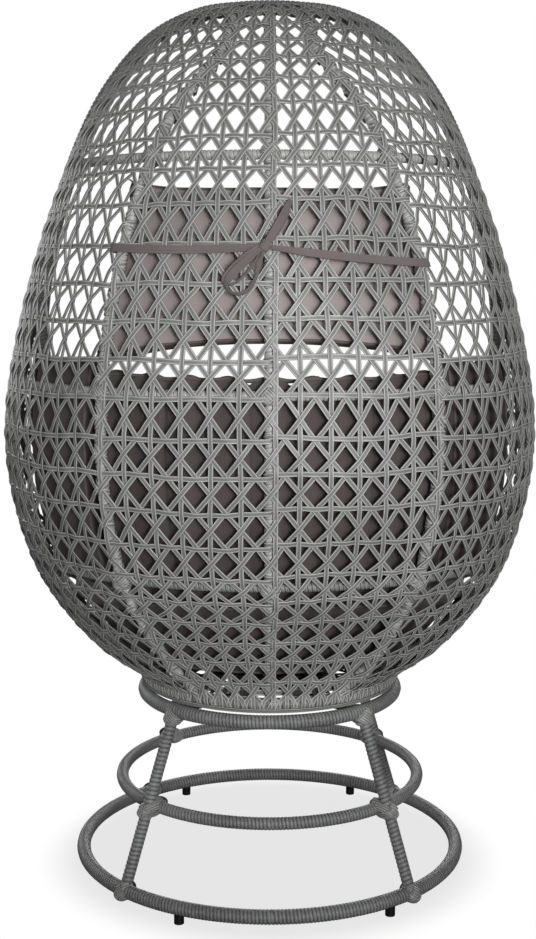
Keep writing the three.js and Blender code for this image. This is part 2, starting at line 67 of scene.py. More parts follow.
# sRGB hex to the linear numbers that a shader takes
def toLinear(hexColour):
    parts = [int(hexColour[i : i + 2], 16) / 255 for i in (1, 3, 5)]
    return [c / 12.92 if c <= 0.04045 else ((c + 0.055) / 1.055) ** 2.4 for c in parts] + [1.0]


# adds a node to a material or the world, sets its sockets and properties by name, and links
# (socket, node, output) into it
def addNode(owner, kind, links=(), **settings):
    tree = owner.node_tree
    node = tree.nodes.new(kind)
    for key, value in settings.items():
        name = key.replace("_", " ")
        if name in node.inputs:
            node.inputs[name].default_value = value
        else:
            setattr(node, key, value)
    for socket, source, output in links:
        tree.links.new(source.outputs[output], node.inputs[socket])
    return node


def plug(owner, source, output, node, socket):
    owner.node_tree.links.new(source.outputs[output], node.inputs[socket])


def newMaterial(name):
    material = bpy.data.materials.new(name)
    material.use_nodes = True
    return material, material.node_tree.nodes["Principled BSDF"]


# sets a ramp's tones; its two first stops are there already
def setRamp(ramp, stops):
    for place, tone in stops[2:]:
        ramp.color_ramp.elements.new(place)
    for element, (place, tone) in zip(ramp.color_ramp.elements, sorted(stops)):
        element.position = place
        element.color = toLinear(tone)


# extruded polyethylene cane: satin, with fine lines drawn along it by the die; its colour ramp paints
# highlights where it stands out and shade in its grooves
def canePlastic(name, tones, strand=True):
    material, shader = newMaterial(name)
    spot = addNode(material, "ShaderNodeTexCoord")
    # patches of about 140 mm, as the colour of a batch of cane changes
    patch = addNode(material, "ShaderNodeTexNoise", [("Vector", spot, "Object")], Scale=7.0, Detail=2.0)
    if strand:
        # lines about 33 mm long and 0.6 mm wide: coarser than the die's own, so that they show
        along = addNode(material, "ShaderNodeUVMap", uv_map="strand")
        lines = addNode(material, "ShaderNodeMapping", [("Vector", along, "UV")], Scale=(30.0, 26.0, 1.0))
        streak = addNode(material, "ShaderNodeTexNoise", [("Vector", lines, "Vector")], Scale=1.0, Detail=3.0)
        across = addNode(material, "ShaderNodeSeparateXYZ", [("Vector", along, "UV")])
        # painted highlights on the ridges and painted shade in the groove, at the edges and round the back,
        # by the share of the way round
        ramp = addNode(material, "ShaderNodeValToRGB", [("Fac", across, "Y")])
    else:
        # painted shade in the grooves between the turns and painted highlights on the turns, read from the
        # mesh's own bends
        place = [("Vector", spot, "Object")]
        streak = addNode(material, "ShaderNodeTexNoise", place, Scale=160.0, Detail=3.0)
        bent = addNode(material, "ShaderNodeNewGeometry")
        ramp = addNode(material, "ShaderNodeValToRGB", [("Fac", bent, "Pointiness")])
    setRamp(ramp, tones["ramp"])
    stain = addNode(material, "ShaderNodeMath", [(0, patch, "Fac"), (1, streak, "Fac")], operation="ADD")
    fade = addNode(
        material,
        "ShaderNodeMapRange",
        [("Value", stain, "Value")],
        From_Min=0.75,
        From_Max=1.25,
        To_Min=1 - tones["uneven"],
        To_Max=1 + tones["uneven"],
    )
    toned = [(0, ramp, "Color"), ("Scale", fade, "Result")]
    shaded = addNode(material, "ShaderNodeVectorMath", toned, operation="SCALE")
    plug(material, shaded, "Vector", shader, "Base Color")
    least, most = tones["rough"]
    rough = addNode(material, "ShaderNodeMapRange", [("Value", streak, "Fac")], To_Min=least, To_Max=most)
    plug(material, rough, "Result", shader, "Roughness")
    bump = addNode(material, "ShaderNodeBump", [("Height", streak, "Fac")], Strength=0.35, Distance=0.0004)
    plug(material, bump, "Normal", shader, "Normal")
    shader.inputs["IOR"].default_value = 1.5
    return material


# across one strand from its left edge over both ridges to its right edge, then round the back: painted
# highlights on the ridges, painted shade in the groove between them, at the edges and round the back
strandTonesPaintedLight = {
    "uneven": 0.16,
    "rough": (0.34, 0.54),
    "ramp": [
        (0.0, "#565756"), (1.0, "#4c4d4b"), (0.06, "#999a98"), (0.14, "#e6e7e4"), (0.20, "#989997"),
        (0.286, "#858684"), (0.37, "#989997"), (0.43, "#e6e7e4"), (0.51, "#999a98"), (0.57, "#565756"),
    ],
}
# from the groove between two turns, darkened as painted shade, to a turn's back, lightened as painted
# highlight
windingTonesPaintedLight = {
    "uneven": 0.26,
    "rough": (0.36, 0.52),
    "ramp": [(0.40, "#222321"), (0.60, "#b9bbb8"), (0.485, "#515352"), (0.54, "#777978")],
}
# the same, made paler for the ribs and upper rails as painted light: a lit copy of the winding's tones
ribTonesPaintedLit = {
    "uneven": 0.18,
    "rough": (0.28, 0.46),
    "ramp": [(0.42, "#4c4d4b"), (0.60, "#dadbd7"), (0.47, "#8b8c89"), (0.52, "#b2b3af")],
}
caneStrand = canePlastic("canePlasticStrand", strandTonesPaintedLight)
caneWinding = canePlastic("canePlasticWinding", windingTonesPaintedLight, strand=False)
# the ribs' and upper rails' winding: the same cane, made paler as painted light
caneRibPaintedLit = canePlastic("canePlasticRibWindingPaintedLit", ribTonesPaintedLit, strand=False)


# polyester outdoor cloth: dull, with a soft bloom where it turns away and a fine uneven yarn; thread is
# the yarns per metre, about a third of a real cloth's, so that they show
def wovenFabric(name, tone, shade, thread):
    material, shader = newMaterial(name)
    spot = addNode(material, "ShaderNodeTexCoord")
    place = [("Vector", spot, "Object")]
    patch = addNode(material, "ShaderNodeTexNoise", place, Scale=9.0, Detail=3.0)
    yarn = addNode(material, "ShaderNodeTexNoise", place, Scale=thread, Detail=4.0, Roughness=0.7)
    both = addNode(material, "ShaderNodeMix", [(2, patch, "Fac"), (3, yarn, "Fac")], data_type="FLOAT")
    both.inputs[0].default_value = 0.55
    ramp = addNode(material, "ShaderNodeValToRGB", [("Fac", both, 0)])
    setRamp(ramp, [(0.32, shade), (0.66, tone)])
    plug(material, ramp, "Color", shader, "Base Color")
    bump = addNode(material, "ShaderNodeBump", [("Height", yarn, "Fac")], Strength=0.5, Distance=0.0006)
    plug(material, bump, "Normal", shader, "Normal")
    shader.inputs["Roughness"].default_value = 0.92
    shader.inputs["Sheen Weight"].default_value = 0.22
    shader.inputs["Sheen Roughness"].default_value = 0.5
    shader.inputs["Sheen Tint"].default_value = toLinear("#cfc4c2")
    return material


# powder-coated or zinc-plated steel, or moulded plastic: even, with a fine grain that breaks the highlight up
def hardMaterial(name, tone, grain, rough, metallic=0.0):
    material, shader = newMaterial(name)
    spot = addNode(material, "ShaderNodeTexCoord")
    speck = addNode(material, "ShaderNodeTexNoise", [("Vector", spot, "Object")], Scale=grain, Detail=3.0)
    spread = {"To_Min": rough - 0.1, "To_Max": rough + 0.12}
    change = addNode(material, "ShaderNodeMapRange", [("Value", speck, "Fac")], **spread)
    plug(material, change, "Result", shader, "Roughness")
    bump = addNode(material, "ShaderNodeBump", [("Height", speck, "Fac")], Strength=0.25, Distance=0.0003)
    plug(material, bump, "Normal", shader, "Normal")
    shader.inputs["Base Color"].default_value = toLinear(tone)
    shader.inputs["Metallic"].default_value = metallic
    return material


# one cloth in two copies: the cushions' darkened as painted shade inside the basket, the pillow's made
# lighter as painted light
cushionFabricPaintedShade = wovenFabric("cushionPolyesterPaintedShade", "#6a605e", "#4e4644", 700.0)
pillowFabricPaintedLit = wovenFabric("pillowPolyesterPaintedLit", "#c2b6b4", "#a69b99", 700.0)
pipingFabric = wovenFabric("pipingPolyester", "#7b7170", "#625958", 900.0)
tapeFabric = wovenFabric("tieTape", "#8b807f", "#73696a", 1100.0)
powderCoat = hardMaterial("powderCoatedSteel", "#2e2e2d", 900.0, 0.45)
bearingSteel = hardMaterial("zincPlatedSteel", "#8d8f90", 500.0, 0.38, 1.0)
footPlastic = hardMaterial("blackPolyamide", "#161616", 700.0, 0.5)

# the egg: the same curves as in the CAD source, in metres
egg = {
    "hoopHeight": 0.350,
    "hoopRadius": 0.222,
    "height": 1.192,
    "halfWidth": 0.475,
    "backReach": 0.427,
    "frontReach": 0.470,
    "centreShift": 0.040,
    "cutAtHoop": 1.2,
    "backRib": 35.5,  # degrees from the centre back, at the widest
    "ribAtHoop": 0.93,
    # share of height, half width, back reach, front reach, centre shift, of front reach at the cut,
    # and of the rib angle
    "levels": [
        (0.044, 0.657, 0.576, 0.64, 0.25, 1.1, 0.93),
        (0.112, 0.817, 0.698, 0.8, 0.65, 0.955, 0.94),
        (0.188, 0.922, 0.848, 0.912, 0.9, 0.862, 0.965),
        (0.297, 0.992, 0.972, 0.99, 1, 0.72, 0.975),
        (0.407, 1, 1, 1, 1, 0.5, 0.985),
        (0.55, 0.933, 0.97, 0.936, 1, 0.28, 1),
        (0.702, 0.817, 0.869, 0.834, 1, 0.15, 0.95),
        (0.828, 0.68, 0.674, 0.702, 1, 0.062, 0.81),
        (0.921, 0.52, 0.417, 0.557, 1, 0.02, 0.5),
        (0.979, 0.32, 0.171, 0.366, 1, 0, 0.66),
        (1, 0, -0.094, 0.085, 1, -0.005, 0.8),
    ],
}
sizeKeys = ("height", "halfWidth", "backReach", "frontReach", "centreShift", "frontReach", "backRib")
sizes = [egg[key] for key in sizeKeys]
hoopRadius = egg["hoopRadius"]
hoopHeight = egg["hoopHeight"]
cutAtHoop = egg["frontReach"] * egg["cutAtHoop"]
atHoop = [0, hoopRadius, hoopRadius, hoopRadius, 0, cutAtHoop, egg["backRib"] * egg["ribAtHoop"]]
columns = [[first] + [row[i] * sizes[i] for row in egg["levels"]] for i, first in enumerate(atHoop)]
heights, halfWidths, backs, fronts, centres, cuts, ribAngles = columns


# Catmull-Rom through evenly spaced values, share 0 to 1, as the CAD source draws it
def smoothValue(values, share):
    last = len(values) - 1
    place = share * last
    i = max(0, min(int(place), last - 1))
    w = place - i
    before = values[i - 1] if i else 2 * values[0] - values[1]
    after = values[i + 2] if i + 2 <= last else 2 * values[-1] - values[-2]
    a, b = values[i], values[i + 1]
    ta, tb = (b - before) / 2, (after - a) / 2
    return a + ta * w + (3 * (b - a) - 2 * ta - tb) * w**2 + (2 * (a - b) + ta + tb) * w**3


# angle in degrees from the centre back, level 0 at the hoop and 1 at the crown
def eggPoint(angle, level):
    height, side, back, front, centre = (smoothValue(column, level) for column in columns[:5])
    turn = math.radians(angle)
    reach = back + centre if math.cos(turn) > 0 else front - centre
    return Vector((side * math.sin(turn), centre - reach * math.cos(turn), hoopHeight + height))


def eggNormal(angle, level):
    around = eggPoint(angle + 0.18, level) - eggPoint(angle - 0.18, level)
    up = eggPoint(angle, min(1, level + 0.001)) - eggPoint(angle, max(0, level - 0.001))
    return around.cross(up).normalized()


def insetPoint(angle, level, inset):
    return eggPoint(angle, level) - eggNormal(angle, level) * inset


# where a value that rises through 0 does so, by halving
def rootOf(rising, low=0.0, high=1.0, halvings=30):
    for _ in range(halvings):
        middle = (low + high) / 2
        if rising(middle) > 0:
            high = middle
        else:
            low = middle
    return (low + high) / 2


def levelAt(height):
    return rootOf(lambda level: hoopHeight + smoothValue(heights, level) - height)


# the back ribs, named 33, close in towards the crown; the others keep their angle
def ribAngle(rib, level):
    return math.copysign(smoothValue(ribAngles, level), rib) if abs(rib) == 33 else rib


rimTable = [rootOf(lambda level: eggPoint(a, level).y - smoothValue(cuts, level)) for a in range(181)]


# the level at which the opening's rim crosses each angle
def rimLevel(angle):
    a = min(abs(angle), 179.999)
    low = int(a)
    return rimTable[low] + (rimTable[low + 1] - rimTable[low]) * (a - low)


def deselect():
    bpy.ops.object.select_all(action="DESELECT")


def pick(*objects):
    deselect()
    for obj in objects:
        obj.select_set(True)
    bpy.context.view_layer.objects.active = objects[0]


def applyAll(obj):
    pick(obj)
    for name in [m.name for m in obj.modifiers]:
        bpy.ops.object.modifier_apply(modifier=name)


def joined(name, objects):
    pick(*objects)
    if len(objects) > 1:
        bpy.ops.object.join()
    obj = bpy.context.object
    obj.name = obj.data.name = name
    return obj


# merges doubles, closes open ends of up to that many sides, and turns the faces outwards
def tidied(obj, holes=0):
    pick(obj)
    bpy.ops.object.mode_set(mode="EDIT")
    bpy.ops.mesh.select_all(action="SELECT")
    bpy.ops.mesh.remove_doubles(threshold=0.00001)
    if holes:
        bpy.ops.mesh.select_all(action="SELECT")
        bpy.ops.mesh.fill_holes(sides=holes)
    bpy.ops.mesh.select_all(action="SELECT")
    bpy.ops.mesh.normals_make_consistent(inside=False)
    bpy.ops.object.mode_set(mode="OBJECT")
    return obj


# joins strands or strips to one piece, smooth but for edges sharper than that many degrees
def bundled(name, strips, sharp, holes=0):
    obj = tidied(joined(name, strips), holes)
    pick(obj)
    bpy.ops.object.shade_smooth_by_angle(angle=math.radians(sharp))
    return obj


def setMaterial(obj, material):
    obj.data.materials.clear()
    obj.data.materials.append(material)


def finishPiece(obj, material, body, slot, *replaced):
    setMaterial(obj, material)
    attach(obj, body)
    if replaced:
        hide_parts(*replaced)
    return obj


# a grid primitive whose points are set row by row
def gridOf(rows, name):
    bpy.ops.mesh.primitive_grid_add(x_subdivisions=len(rows[0]) - 1, y_subdivisions=len(rows) - 1, size=1)
    obj = bpy.context.object
    obj.name = name
    obj.data.vertices.foreach_set("co", [c for row in rows for p in row for c in p])
    obj.data.update()
    return obj


# the points of a section across each (point, face, width) station of a flat strand or tape
def sectionRows(stations, section, thickness, closed=False):
    last = len(stations) - 1
    rows = []
    for i, (point, face, width) in enumerate(stations):
        if closed:
            along = stations[(i + 1) % len(stations)][0] - stations[i - 1][0]
        else:
            along = stations[min(last, i + 1)][0] - stations[max(0, i - 1)][0]
        side = along.cross(face).normalized()
        out = side.cross(along).normalized()
        rows.append([point + side * (x * width / 2) + out * (z * thickness / 2) for x, z in section])
    return rows + rows[:1] if closed else rows


# a curve that a Curve modifier bends along, through the points
def pathThrough(points, closed=False):
    data = bpy.data.curves.new("path", "CURVE")
    data.dimensions = "3D"
    data.twist_mode = "Z_UP" if closed else "MINIMUM"
    spline = data.splines.new("POLY")
    spline.points.add(len(points) - 1)
    for place, point in zip(spline.points, points):
        place.co = (*point, 1)
    spline.use_cyclic_u = closed
    obj = bpy.data.objects.new("path", data)
    bpy.context.scene.collection.objects.link(obj)
    return obj


def pathLength(points, closed=False):
    pairs = zip(points, points[1:] + points[:1] if closed else points[1:])
    return sum((b - a).length for a, b in pairs)


# the flat cane round the tubes, laid turn against turn
winding = {
    "pitch": 0.0062,
    "sides": 12,
    # share of one turn's width, and depth below the full radius
    "flat": [(0, 0.0013), (0.14, 0.0003), (0.5, 0.0), (0.86, 0.0003), (1, 0.0013)],
    "coarse": [(0, 0.0022), (0.1, 0.0006), (0.28, 0), (0.5, 0.0004), (0.72, 0), (0.9, 0.0006), (1, 0.0022)],
    "plain": [(0, 0), (1, 0)],
}


# one turn's profile, screwed along X, then bent along the path
def woundTube(name, points, diameter, closed=False, pitch=None, profile="flat", sides=None):
    profile = winding[profile]
    length = pathLength(points, closed)
    turns = max(2, round(length / (pitch or winding["pitch"])))
    step = length / turns
    deselect()
    bpy.ops.mesh.primitive_grid_add(x_subdivisions=len(profile) - 1, y_subdivisions=1, size=1)
    tube = bpy.context.object
    tube.name = tube.data.name = name
    bpy.ops.object.mode_set(mode="EDIT")
    bpy.ops.mesh.select_all(action="DESELECT")
    bpy.ops.object.mode_set(mode="OBJECT")
    for vertex in tube.data.vertices:
        vertex.select = vertex.co.y > 0
    bpy.ops.object.mode_set(mode="EDIT")
    bpy.ops.mesh.delete(type="VERT")
    bpy.ops.object.mode_set(mode="OBJECT")
    for vertex, (share, depth) in zip(sorted(tube.data.vertices, key=lambda v: v.co.x), profile):
        vertex.co = (share * step, 0, diameter / 2 - depth)
    screw = tube.modifiers.new("winding", "SCREW")
    screw.axis = "X"
    screw.angle = 2 * math.pi
    screw.screw_offset = step
    screw.iterations = turns
    screw.steps = screw.render_steps = sides or winding["sides"]
    screw.use_merge_vertices = False
    applyAll(tube)
    tidied(tube)
    path = pathThrough(points, closed)
    bend = tube.modifiers.new("bend", "CURVE")
    bend.object = path
    bend.deform_axis = "POS_X"
    applyAll(tube)
    bpy.data.objects.remove(path)
    bpy.ops.object.shade_smooth()
    return tube


def outward(degrees, radius, height):
    turn = math.radians(degrees)
    return Vector((radius * math.sin(turn), -radius * math.cos(turn), height))


def ringPoints(radius, height, steps=96):
    return [outward(360 * i / steps, radius, height) for i in range(steps)]


shortBarStart = 0.04  # share of the way from the cross's middle to the ring, at which a short bar starts


# one long bar and two short ones that start beside it, between four places on a ring
def crossOfBars(prefix, radius, height, turn, tube, body):
    ends = [outward(angle - turn, radius, height) for angle in (45, 135, 225, 315)]
    middle = Vector((0, 0, height))
    for name, first, last in (
        ("long", ends[0], ends[2]),
        ("short_right", middle + (ends[1] - middle) * shortBarStart, ends[1]),
        ("short_left", middle + (ends[3] - middle) * shortBarStart, ends[3]),
    ):
        bar = woundTube(f"{prefix}_{name}_cane", [first, (first + last) / 2, last], tube)
        finishPiece(bar, caneWinding, body, "wrapped_tube", f"{prefix}_{name}")


print("stage: base")
baseSpec = {
    "turn": 1.0,  # degrees, clockwise from above, that the base stands turned under the basket
    # radius and height of the tube's middle, and its thickness
    "rings": {
        "floor_ring": (0.345, 0.0265, 0.025),
        "mid_ring": (0.2722, 0.158, 0.022),
        "top_ring": (0.229, 0.320, 0.025),
    },
    "legs": {"leg_back_right": 45, "leg_front_right": 135, "leg_front_left": 225, "leg_back_left": 315},
    "legTube": 0.0212,
    "legPitch": 0.0075,
    "crossTube": 0.019,
}
floorRing, topRing = (baseSpec["rings"][name] for name in ("floor_ring", "top_ring"))


# the leg's middle line on the floor ring and on the top ring
def legEnds(angle):
    return [outward(angle - baseSpec["turn"], ring[0], ring[1]) for ring in (floorRing, topRing)]


for name, (radius, height, tube) in baseSpec["rings"].items():
    ring = woundTube(name + "_cane", ringPoints(radius, height), tube, closed=True)
    finishPiece(ring, caneWinding, "base", "wrapped_tube", name)
for name, angle in baseSpec["legs"].items():
    low, high = legEnds(angle)
    points = [low, (low + high) / 2, high]
    leg = woundTube(name + "_cane", points, baseSpec["legTube"], pitch=baseSpec["legPitch"])
    finishPiece(leg, caneWinding, "base", "wrapped_tube", name)
crossOfBars("cross_bar", topRing[0], topRing[1], baseSpec["turn"], baseSpec["crossTube"], "base")

# the CAD's own swivel and feet stay as they are, with these finishes
for material, names in (
    (powderCoat, ["swivel_lower_plate", "swivel_upper_plate"]),
    (bearingSteel, ["swivel_race", "swivel_spindle"] + [f"plate_bolt_{i}" for i in (1, 2, 3, 4)]),
    (footPlastic, [f"foot_{i}" for i in (1, 2, 3, 4)]),
):
    for name in names:
        setMaterial(nodes[name], material)

print("stage: basket frame")
frameSpec = {
    "ribInset": 0.0123,
    "ribTube": 0.016,
    "ribFuller": 0.0020,  # how much thicker the winding is than the solid
    "ribRaised": 0.0108,  # the winding is thicker on the outside, where the strands' ends lie under it
    "ribPitch": 0.0080,
    "railRaised": 0.0150,
    "railTube": 0.014,
    "railFuller": 0.0024,
    "railPitch": 0.0072,
    "rimInset": 0.006,
    "rimTube": 0.027,
    "rimPitch": 0.0088,
    "rimAngles": [0, 40, 65, 78, 85, 90, 97, 106, 116, 128, 141, 153, 166, 180],
    "hoopTube": 0.022,
    "barRadius": 0.2217,
    "barHeight": 0.3617,
    "barTube": 0.0178,
    "ribs": {
        "centre_rib": 0,
        "back_rib_right": 33,
        "back_rib_left": -33,
        "side_rib_right": 90,
        "side_rib_left": -90,
        "front_rib": 180,
    },
    "rails": {"top_rail": 1.262, "waist_rail": 0.889, "lower_rail": 0.571},
}


# a closed centripetal Catmull-Rom through the points
def rounded(points, steps=16):
    count = len(points)
    fine = []
    for i in range(count):
        near = [points[(i + k) % count] for k in (-1, 0, 1, 2)]
        t = [0.0]
        for a, b in zip(near, near[1:]):
            t.append(t[-1] + (b - a).length ** 0.5)
        for j in range(steps):
            s = t[1] + (t[2] - t[1]) * j / steps
            level = near
            for spans in (((0, 1), (1, 2), (2, 3)), ((0, 2), (1, 3)), ((1, 2),)):
                level = [
                    a * ((t[last] - s) / (t[last] - t[first])) + b * ((s - t[first]) / (t[last] - t[first]))
                    for (first, last), a, b in zip(spans, level, level[1:])
                ]
            fine.append(level[0])
    return fine


rimHalf = [insetPoint(a, rimLevel(a), frameSpec["rimInset"]) for a in frameSpec["rimAngles"]]
rimOther = [Vector((-p.x, p.y, p.z)) for p in reversed(rimHalf[1:-1])]
rimWinding = {"closed": True, "pitch": frameSpec["rimPitch"], "profile": "coarse"}
rim = woundTube("front_rim_cane", rounded(rimHalf + rimOther), frameSpec["rimTube"], **rimWinding)
finishPiece(rim, caneWinding, "basket", "wrapped_tube", "front_rim_right", "front_rim_left")
hoop = woundTube("bottom_hoop_cane", ringPoints(hoopRadius, hoopHeight), frameSpec["hoopTube"], closed=True)
finishPiece(hoop, caneWinding, "basket", "wrapped_tube", "bottom_hoop")
crossOfBars("bottom_bar", frameSpec["barRadius"], frameSpec["barHeight"], 0, frameSpec["barTube"], "basket")

# the ribs take the paler copy of the winding, lightened as painted light
ribTube = frameSpec["ribTube"] + frameSpec["ribFuller"]
for name, angle in frameSpec["ribs"].items():
    top = rootOf(lambda level: level - rimLevel(ribAngle(angle, level)))
    levels = [top * i / 60 for i in range(61)]
    points = [insetPoint(ribAngle(angle, level), level, frameSpec["ribRaised"]) for level in levels]
    rib = woundTube(name + "_cane", points, ribTube, pitch=frameSpec["ribPitch"], profile="coarse")
    finishPiece(rib, caneRibPaintedLit, "basket", "wrapped_tube", name)

# the top and waist rails take the same paler, painted-light copy; the lower rail takes the plain winding
railTube = frameSpec["railTube"] + frameSpec["railFuller"]
for rail, height in frameSpec["rails"].items():
    level = levelAt(height)
    cane = caneWinding if rail == "lower_rail" else caneRibPaintedLit
    for side, sign in (("right", 1), ("left", -1)):
        for span, start, end, steps in (("inner", 0, 33, 12), ("outer", 33, 90, 24)):
            name = f"{rail}_{span}_{side}"
            first, last = ribAngle(start, level), ribAngle(end, level)
            angles = [sign * (first + (last - first) * i / steps) for i in range(steps + 1)]
            points = [insetPoint(angle, level, frameSpec["railRaised"]) for angle in angles]
            tube = woundTube(name + "_cane", points, railTube, pitch=frameSpec["railPitch"], profile="coarse")
            finishPiece(tube, cane, "basket", "wrapped_tube", name)

print("stage: weave")
weave = {
    "cell": 0.0466,  # between two upright strands where the basket is widest
    "narrowing": 0.72,  # how fast they close up as the basket narrows
    "width": 0.0085,
    "thickness": 0.0021,
    "middle": 0.0018,  # depth of the weave's middle under the egg's face
    "wobble": 0.05,  # handmade unevenness, in cells
    "wobbleGrain": 0.45,
    "flatness": 0.6,
    # within a distance of a rib, the greatest depth of the strands' middles and how far they step out from it
    "acrossRib": [(0.010, 0.0010, 0.0019), (0.016, 0.0016, 0.0009)],
    "step": 0.0078,
    "shortest": 0.012,
    "shortestRun": 0.12,  # in cells
    "atRib": 0.6,  # degrees within which an end lies at a rib
    # levels of the level strands, counted from the lowest
    "rows": [
        0.067, 0.124, 0.166, 0.211, 0.253, 0.290, 0.3275, 0.367, 0.4075, 0.446, 0.483, 0.5135, 0.544,
        0.5735, 0.603, 0.6345, 0.664, 0.694, 0.7265, 0.758, 0.789, 0.820, 0.858, 0.90, 0.94, 0.975,
    ],
    # a section across one strand: half moon with a slight groove along its face
    "section": [(-1, 0.1), (-0.76, 1.0), (0, 0.55), (0.76, 1.0), (1, 0.1), (0.8, -1.0), (-0.8, -1.0)],
    "rowsPastLast": 0.035,  # levels from row to row above the last one
    # a strand's end goes round a rib in steps of so many degrees, and climbs or falls along it
    "wrap": {"steps": 5, "turn": 36, "climb": 0.010},
    # it goes down over the hoop between two angles from level, and drifts the way it leant, up to a limit
    "hook": {"steps": 7, "from": -35, "over": 150, "drift": 1.3, "lean": 1.2},
    "hookLevel": 0.012,  # below this level, an end is taken down over the hoop
    # radius and height of the points that carry the bottom's strands down on to the hoop
    "bottomHook": [(0.2135, 0.3695), (0.2185, 0.3640), (0.2235, 0.3622)],
}
rowCount = len(weave["rows"])
cellSteps = 200  # levels at which a zone's cell width is worked out


# the level at row v, counted from the lowest row, which is 0
def rowLevel(v):
    if v < 0:
        return weave["rows"][0] * (1 + v)
    if v > rowCount - 1:
        return min(0.9985, weave["rows"][-1] + (v - rowCount + 1) * weave["rowsPastLast"])
    return smoothValue(weave["rows"], v / (rowCount - 1))


# degrees that one cell spans at this level, between two ribs
def cellAngle(level, start, end):
    start, end = ribAngle(start, level), ribAngle(end, level)
    width = smoothValue(halfWidths, level)
    cell = weave["cell"] * (max(0.02, width) / egg["halfWidth"]) ** weave["narrowing"]
    stops = [eggPoint(start + (end - start) * i / 4, level) for i in range(5)]
    return (end - start) * cell / max(0.01, pathLength(stops))


def wobbleAt(u, v, zone):
    grain = weave["wobbleGrain"]
    return noise.noise_vector(Vector((u * grain, v * grain, zone["seed"]))) * weave["wobble"] * 2


# lattice place to angle and level; u counts cells from the zone's first rib, v rows from the lowest
def wallPlace(u, v, zone):
    shift = wobbleAt(u, v, zone)
    level = rowLevel(v + shift.y + zone["rowShift"])
    key = round(level * cellSteps)
    cells = zone["cells"]
    if key not in cells:
        cells[key] = [cellAngle(step / cellSteps, zone["start"], zone["end"]) for step in (key, key + 1)]
    low, high = cells[key]
    cell = low + (high - low) * (level * cellSteps - key)
    return zone["sign"] * (ribAngle(zone["start"], level) + (u + shift.x) * cell), level


# the same lattice laid flat, for the basket's bottom
def flatPlace(u, v, zone):
    shift = wobbleAt(u, v, zone)
    return (u + shift.x) * zone["cell"], (v + shift.y) * zone["cell"]


def placeIn(zone, u, v):
    return flatPlace(u, v, zone) if zone.get("flat") else wallPlace(u, v, zone)


def inZone(angle, level, zone):
    if zone.get("flat"):
        return math.hypot(angle, level) < zone["radius"]
    a = zone["sign"] * angle
    return ribAngle(zone["low"], level) <= a <= ribAngle(zone["end"], level) and 0 <= level <= rimLevel(angle)


# how far a strand stands out of the weave's middle, in thicknesses
def strandShift(family, u, v):
    if family == "upright":
        return -0.25 + 0.75 * math.cos(2 * math.pi * v)
    if family == "level":
        return 0.25 - 0.75 * math.cos(2 * math.pi * u)
    if family == "rising":
        return math.cos(2 * math.pi * u)
    return 0.0


# a point at that depth, and the way the strand's face looks there
def stationAt(zone, angle, level, inset):
    if zone.get("flat"):
        return Vector((angle, level, zone["height"] + inset)), Vector((0, 0, -1))
    # the weave is stretched between the ribs, so its strands face nearly alike over one panel
    panel = zone["sign"] * (ribAngle(zone["start"], level) + ribAngle(zone["end"], level)) / 2
    if zone["low"] < 0 and angle < 0:
        panel = -panel
    return insetPoint(angle, level, inset), eggNormal(angle + (panel - angle) * weave["flatness"], level)


# (family, function from s to u and v, first s, last s) of each strand in a zone
def strandLines(zone):
    least, most, top = zone["first"], zone["last"], rowCount + 1
    lines = []
    if zone.get("flat"):
        for i in range(least, most + 1):
            lines.append(("upright", lambda s, i=i: (i, s), least, most))
            lines.append(("level", lambda s, i=i: (s, i), least, most))
        for k in range(2 * least, 2 * most):
            lines.append(("rising", lambda s, k=k: (s, s + k + 0.5), least, most))
            lines.append(("falling", lambda s, k=k: (s, k + 0.5 - s), least, most))
        return lines
    for i in range(least, most + 1):
        if zone["start"] == 0 and i == 0:  # it runs beside the centre rib, not on it
            lines.append(("upright", lambda s: (0.19, s), -1.0, top))
        elif i != 0:
            lines.append(("upright", lambda s, i=i: (i, s), -1.0, top))
    for j in range(-1, top):
        if zone["low"] < 0:  # the rows don't quite meet at the centre rib
            lines.append(("level", lambda s, j=j: (-s, j - 0.05), 0.0, -least))
            lines.append(("level", lambda s, j=j: (s, j + 0.07), 0.0, most))
        else:
            lines.append(("level", lambda s, j=j: (s, j), least, most))
    for k in range(-most - 2, top - least + 2):
        lines.append(("rising", lambda s, k=k: (s, s + k + 0.5), least, most))
    for k in range(least - 2, top + most + 2):
        lines.append(("falling", lambda s, k=k: (s, k + 0.5 - s), least, most))
    return lines


# the stretches of a line that lie in the zone, with their ends found closely
def runsInside(line, zone):
    route, start, end = line[1:]

    def inside(s):
        u, v = route(s)
        if not zone.get("flat") and not -1.02 <= v <= rowCount - 0.3:
            return False
        return inZone(*placeIn(zone, u, v), zone)

    count = max(2, math.ceil((end - start) * 6))
    marks = [start + (end - start) * i / count for i in range(count + 1)]
    state = [inside(mark) for mark in marks]
    edges = marks[:1] if state[0] else []
    for before, after, was, now in zip(marks, marks[1:], state, state[1:]):
        if was != now:
            edges.append(rootOf(lambda s: inside(s) != was, before, after, 10))
    if state[-1]:
        edges.append(marks[-1])
    return [run for run in zip(edges[::2], edges[1::2]) if run[1] - run[0] > weave["shortestRun"]]


# points that carry a strand's end round the rib that it meets, going down inside
def ribWrap(end, before, angle, level):
    normal = eggNormal(angle, level)
    heart = insetPoint(angle, level, frameSpec["ribRaised"])
    upward = (insetPoint(angle, level + 0.004, 0) - insetPoint(angle, level - 0.004, 0)).normalized()
    heading = end - before
    side = heading - normal * heading.dot(normal) - upward * heading.dot(upward)
    if side.length < 1e-6:
        return []
    side.normalize()
    wrap = weave["wrap"]
    radius = frameSpec["ribTube"] / 2 + 0.001 + weave["thickness"] * 0.3
    climb = upward * (wrap["climb"] if heading.dot(upward) >= 0 else -wrap["climb"])
    stations = []
    for i in range(1, wrap["steps"] + 1):
        phase = math.radians(wrap["turn"] * i)
        out = normal * math.cos(phase) + side * math.sin(phase)
        stations.append((heart + out * radius + climb * (i / wrap["steps"]), out))
    return stations


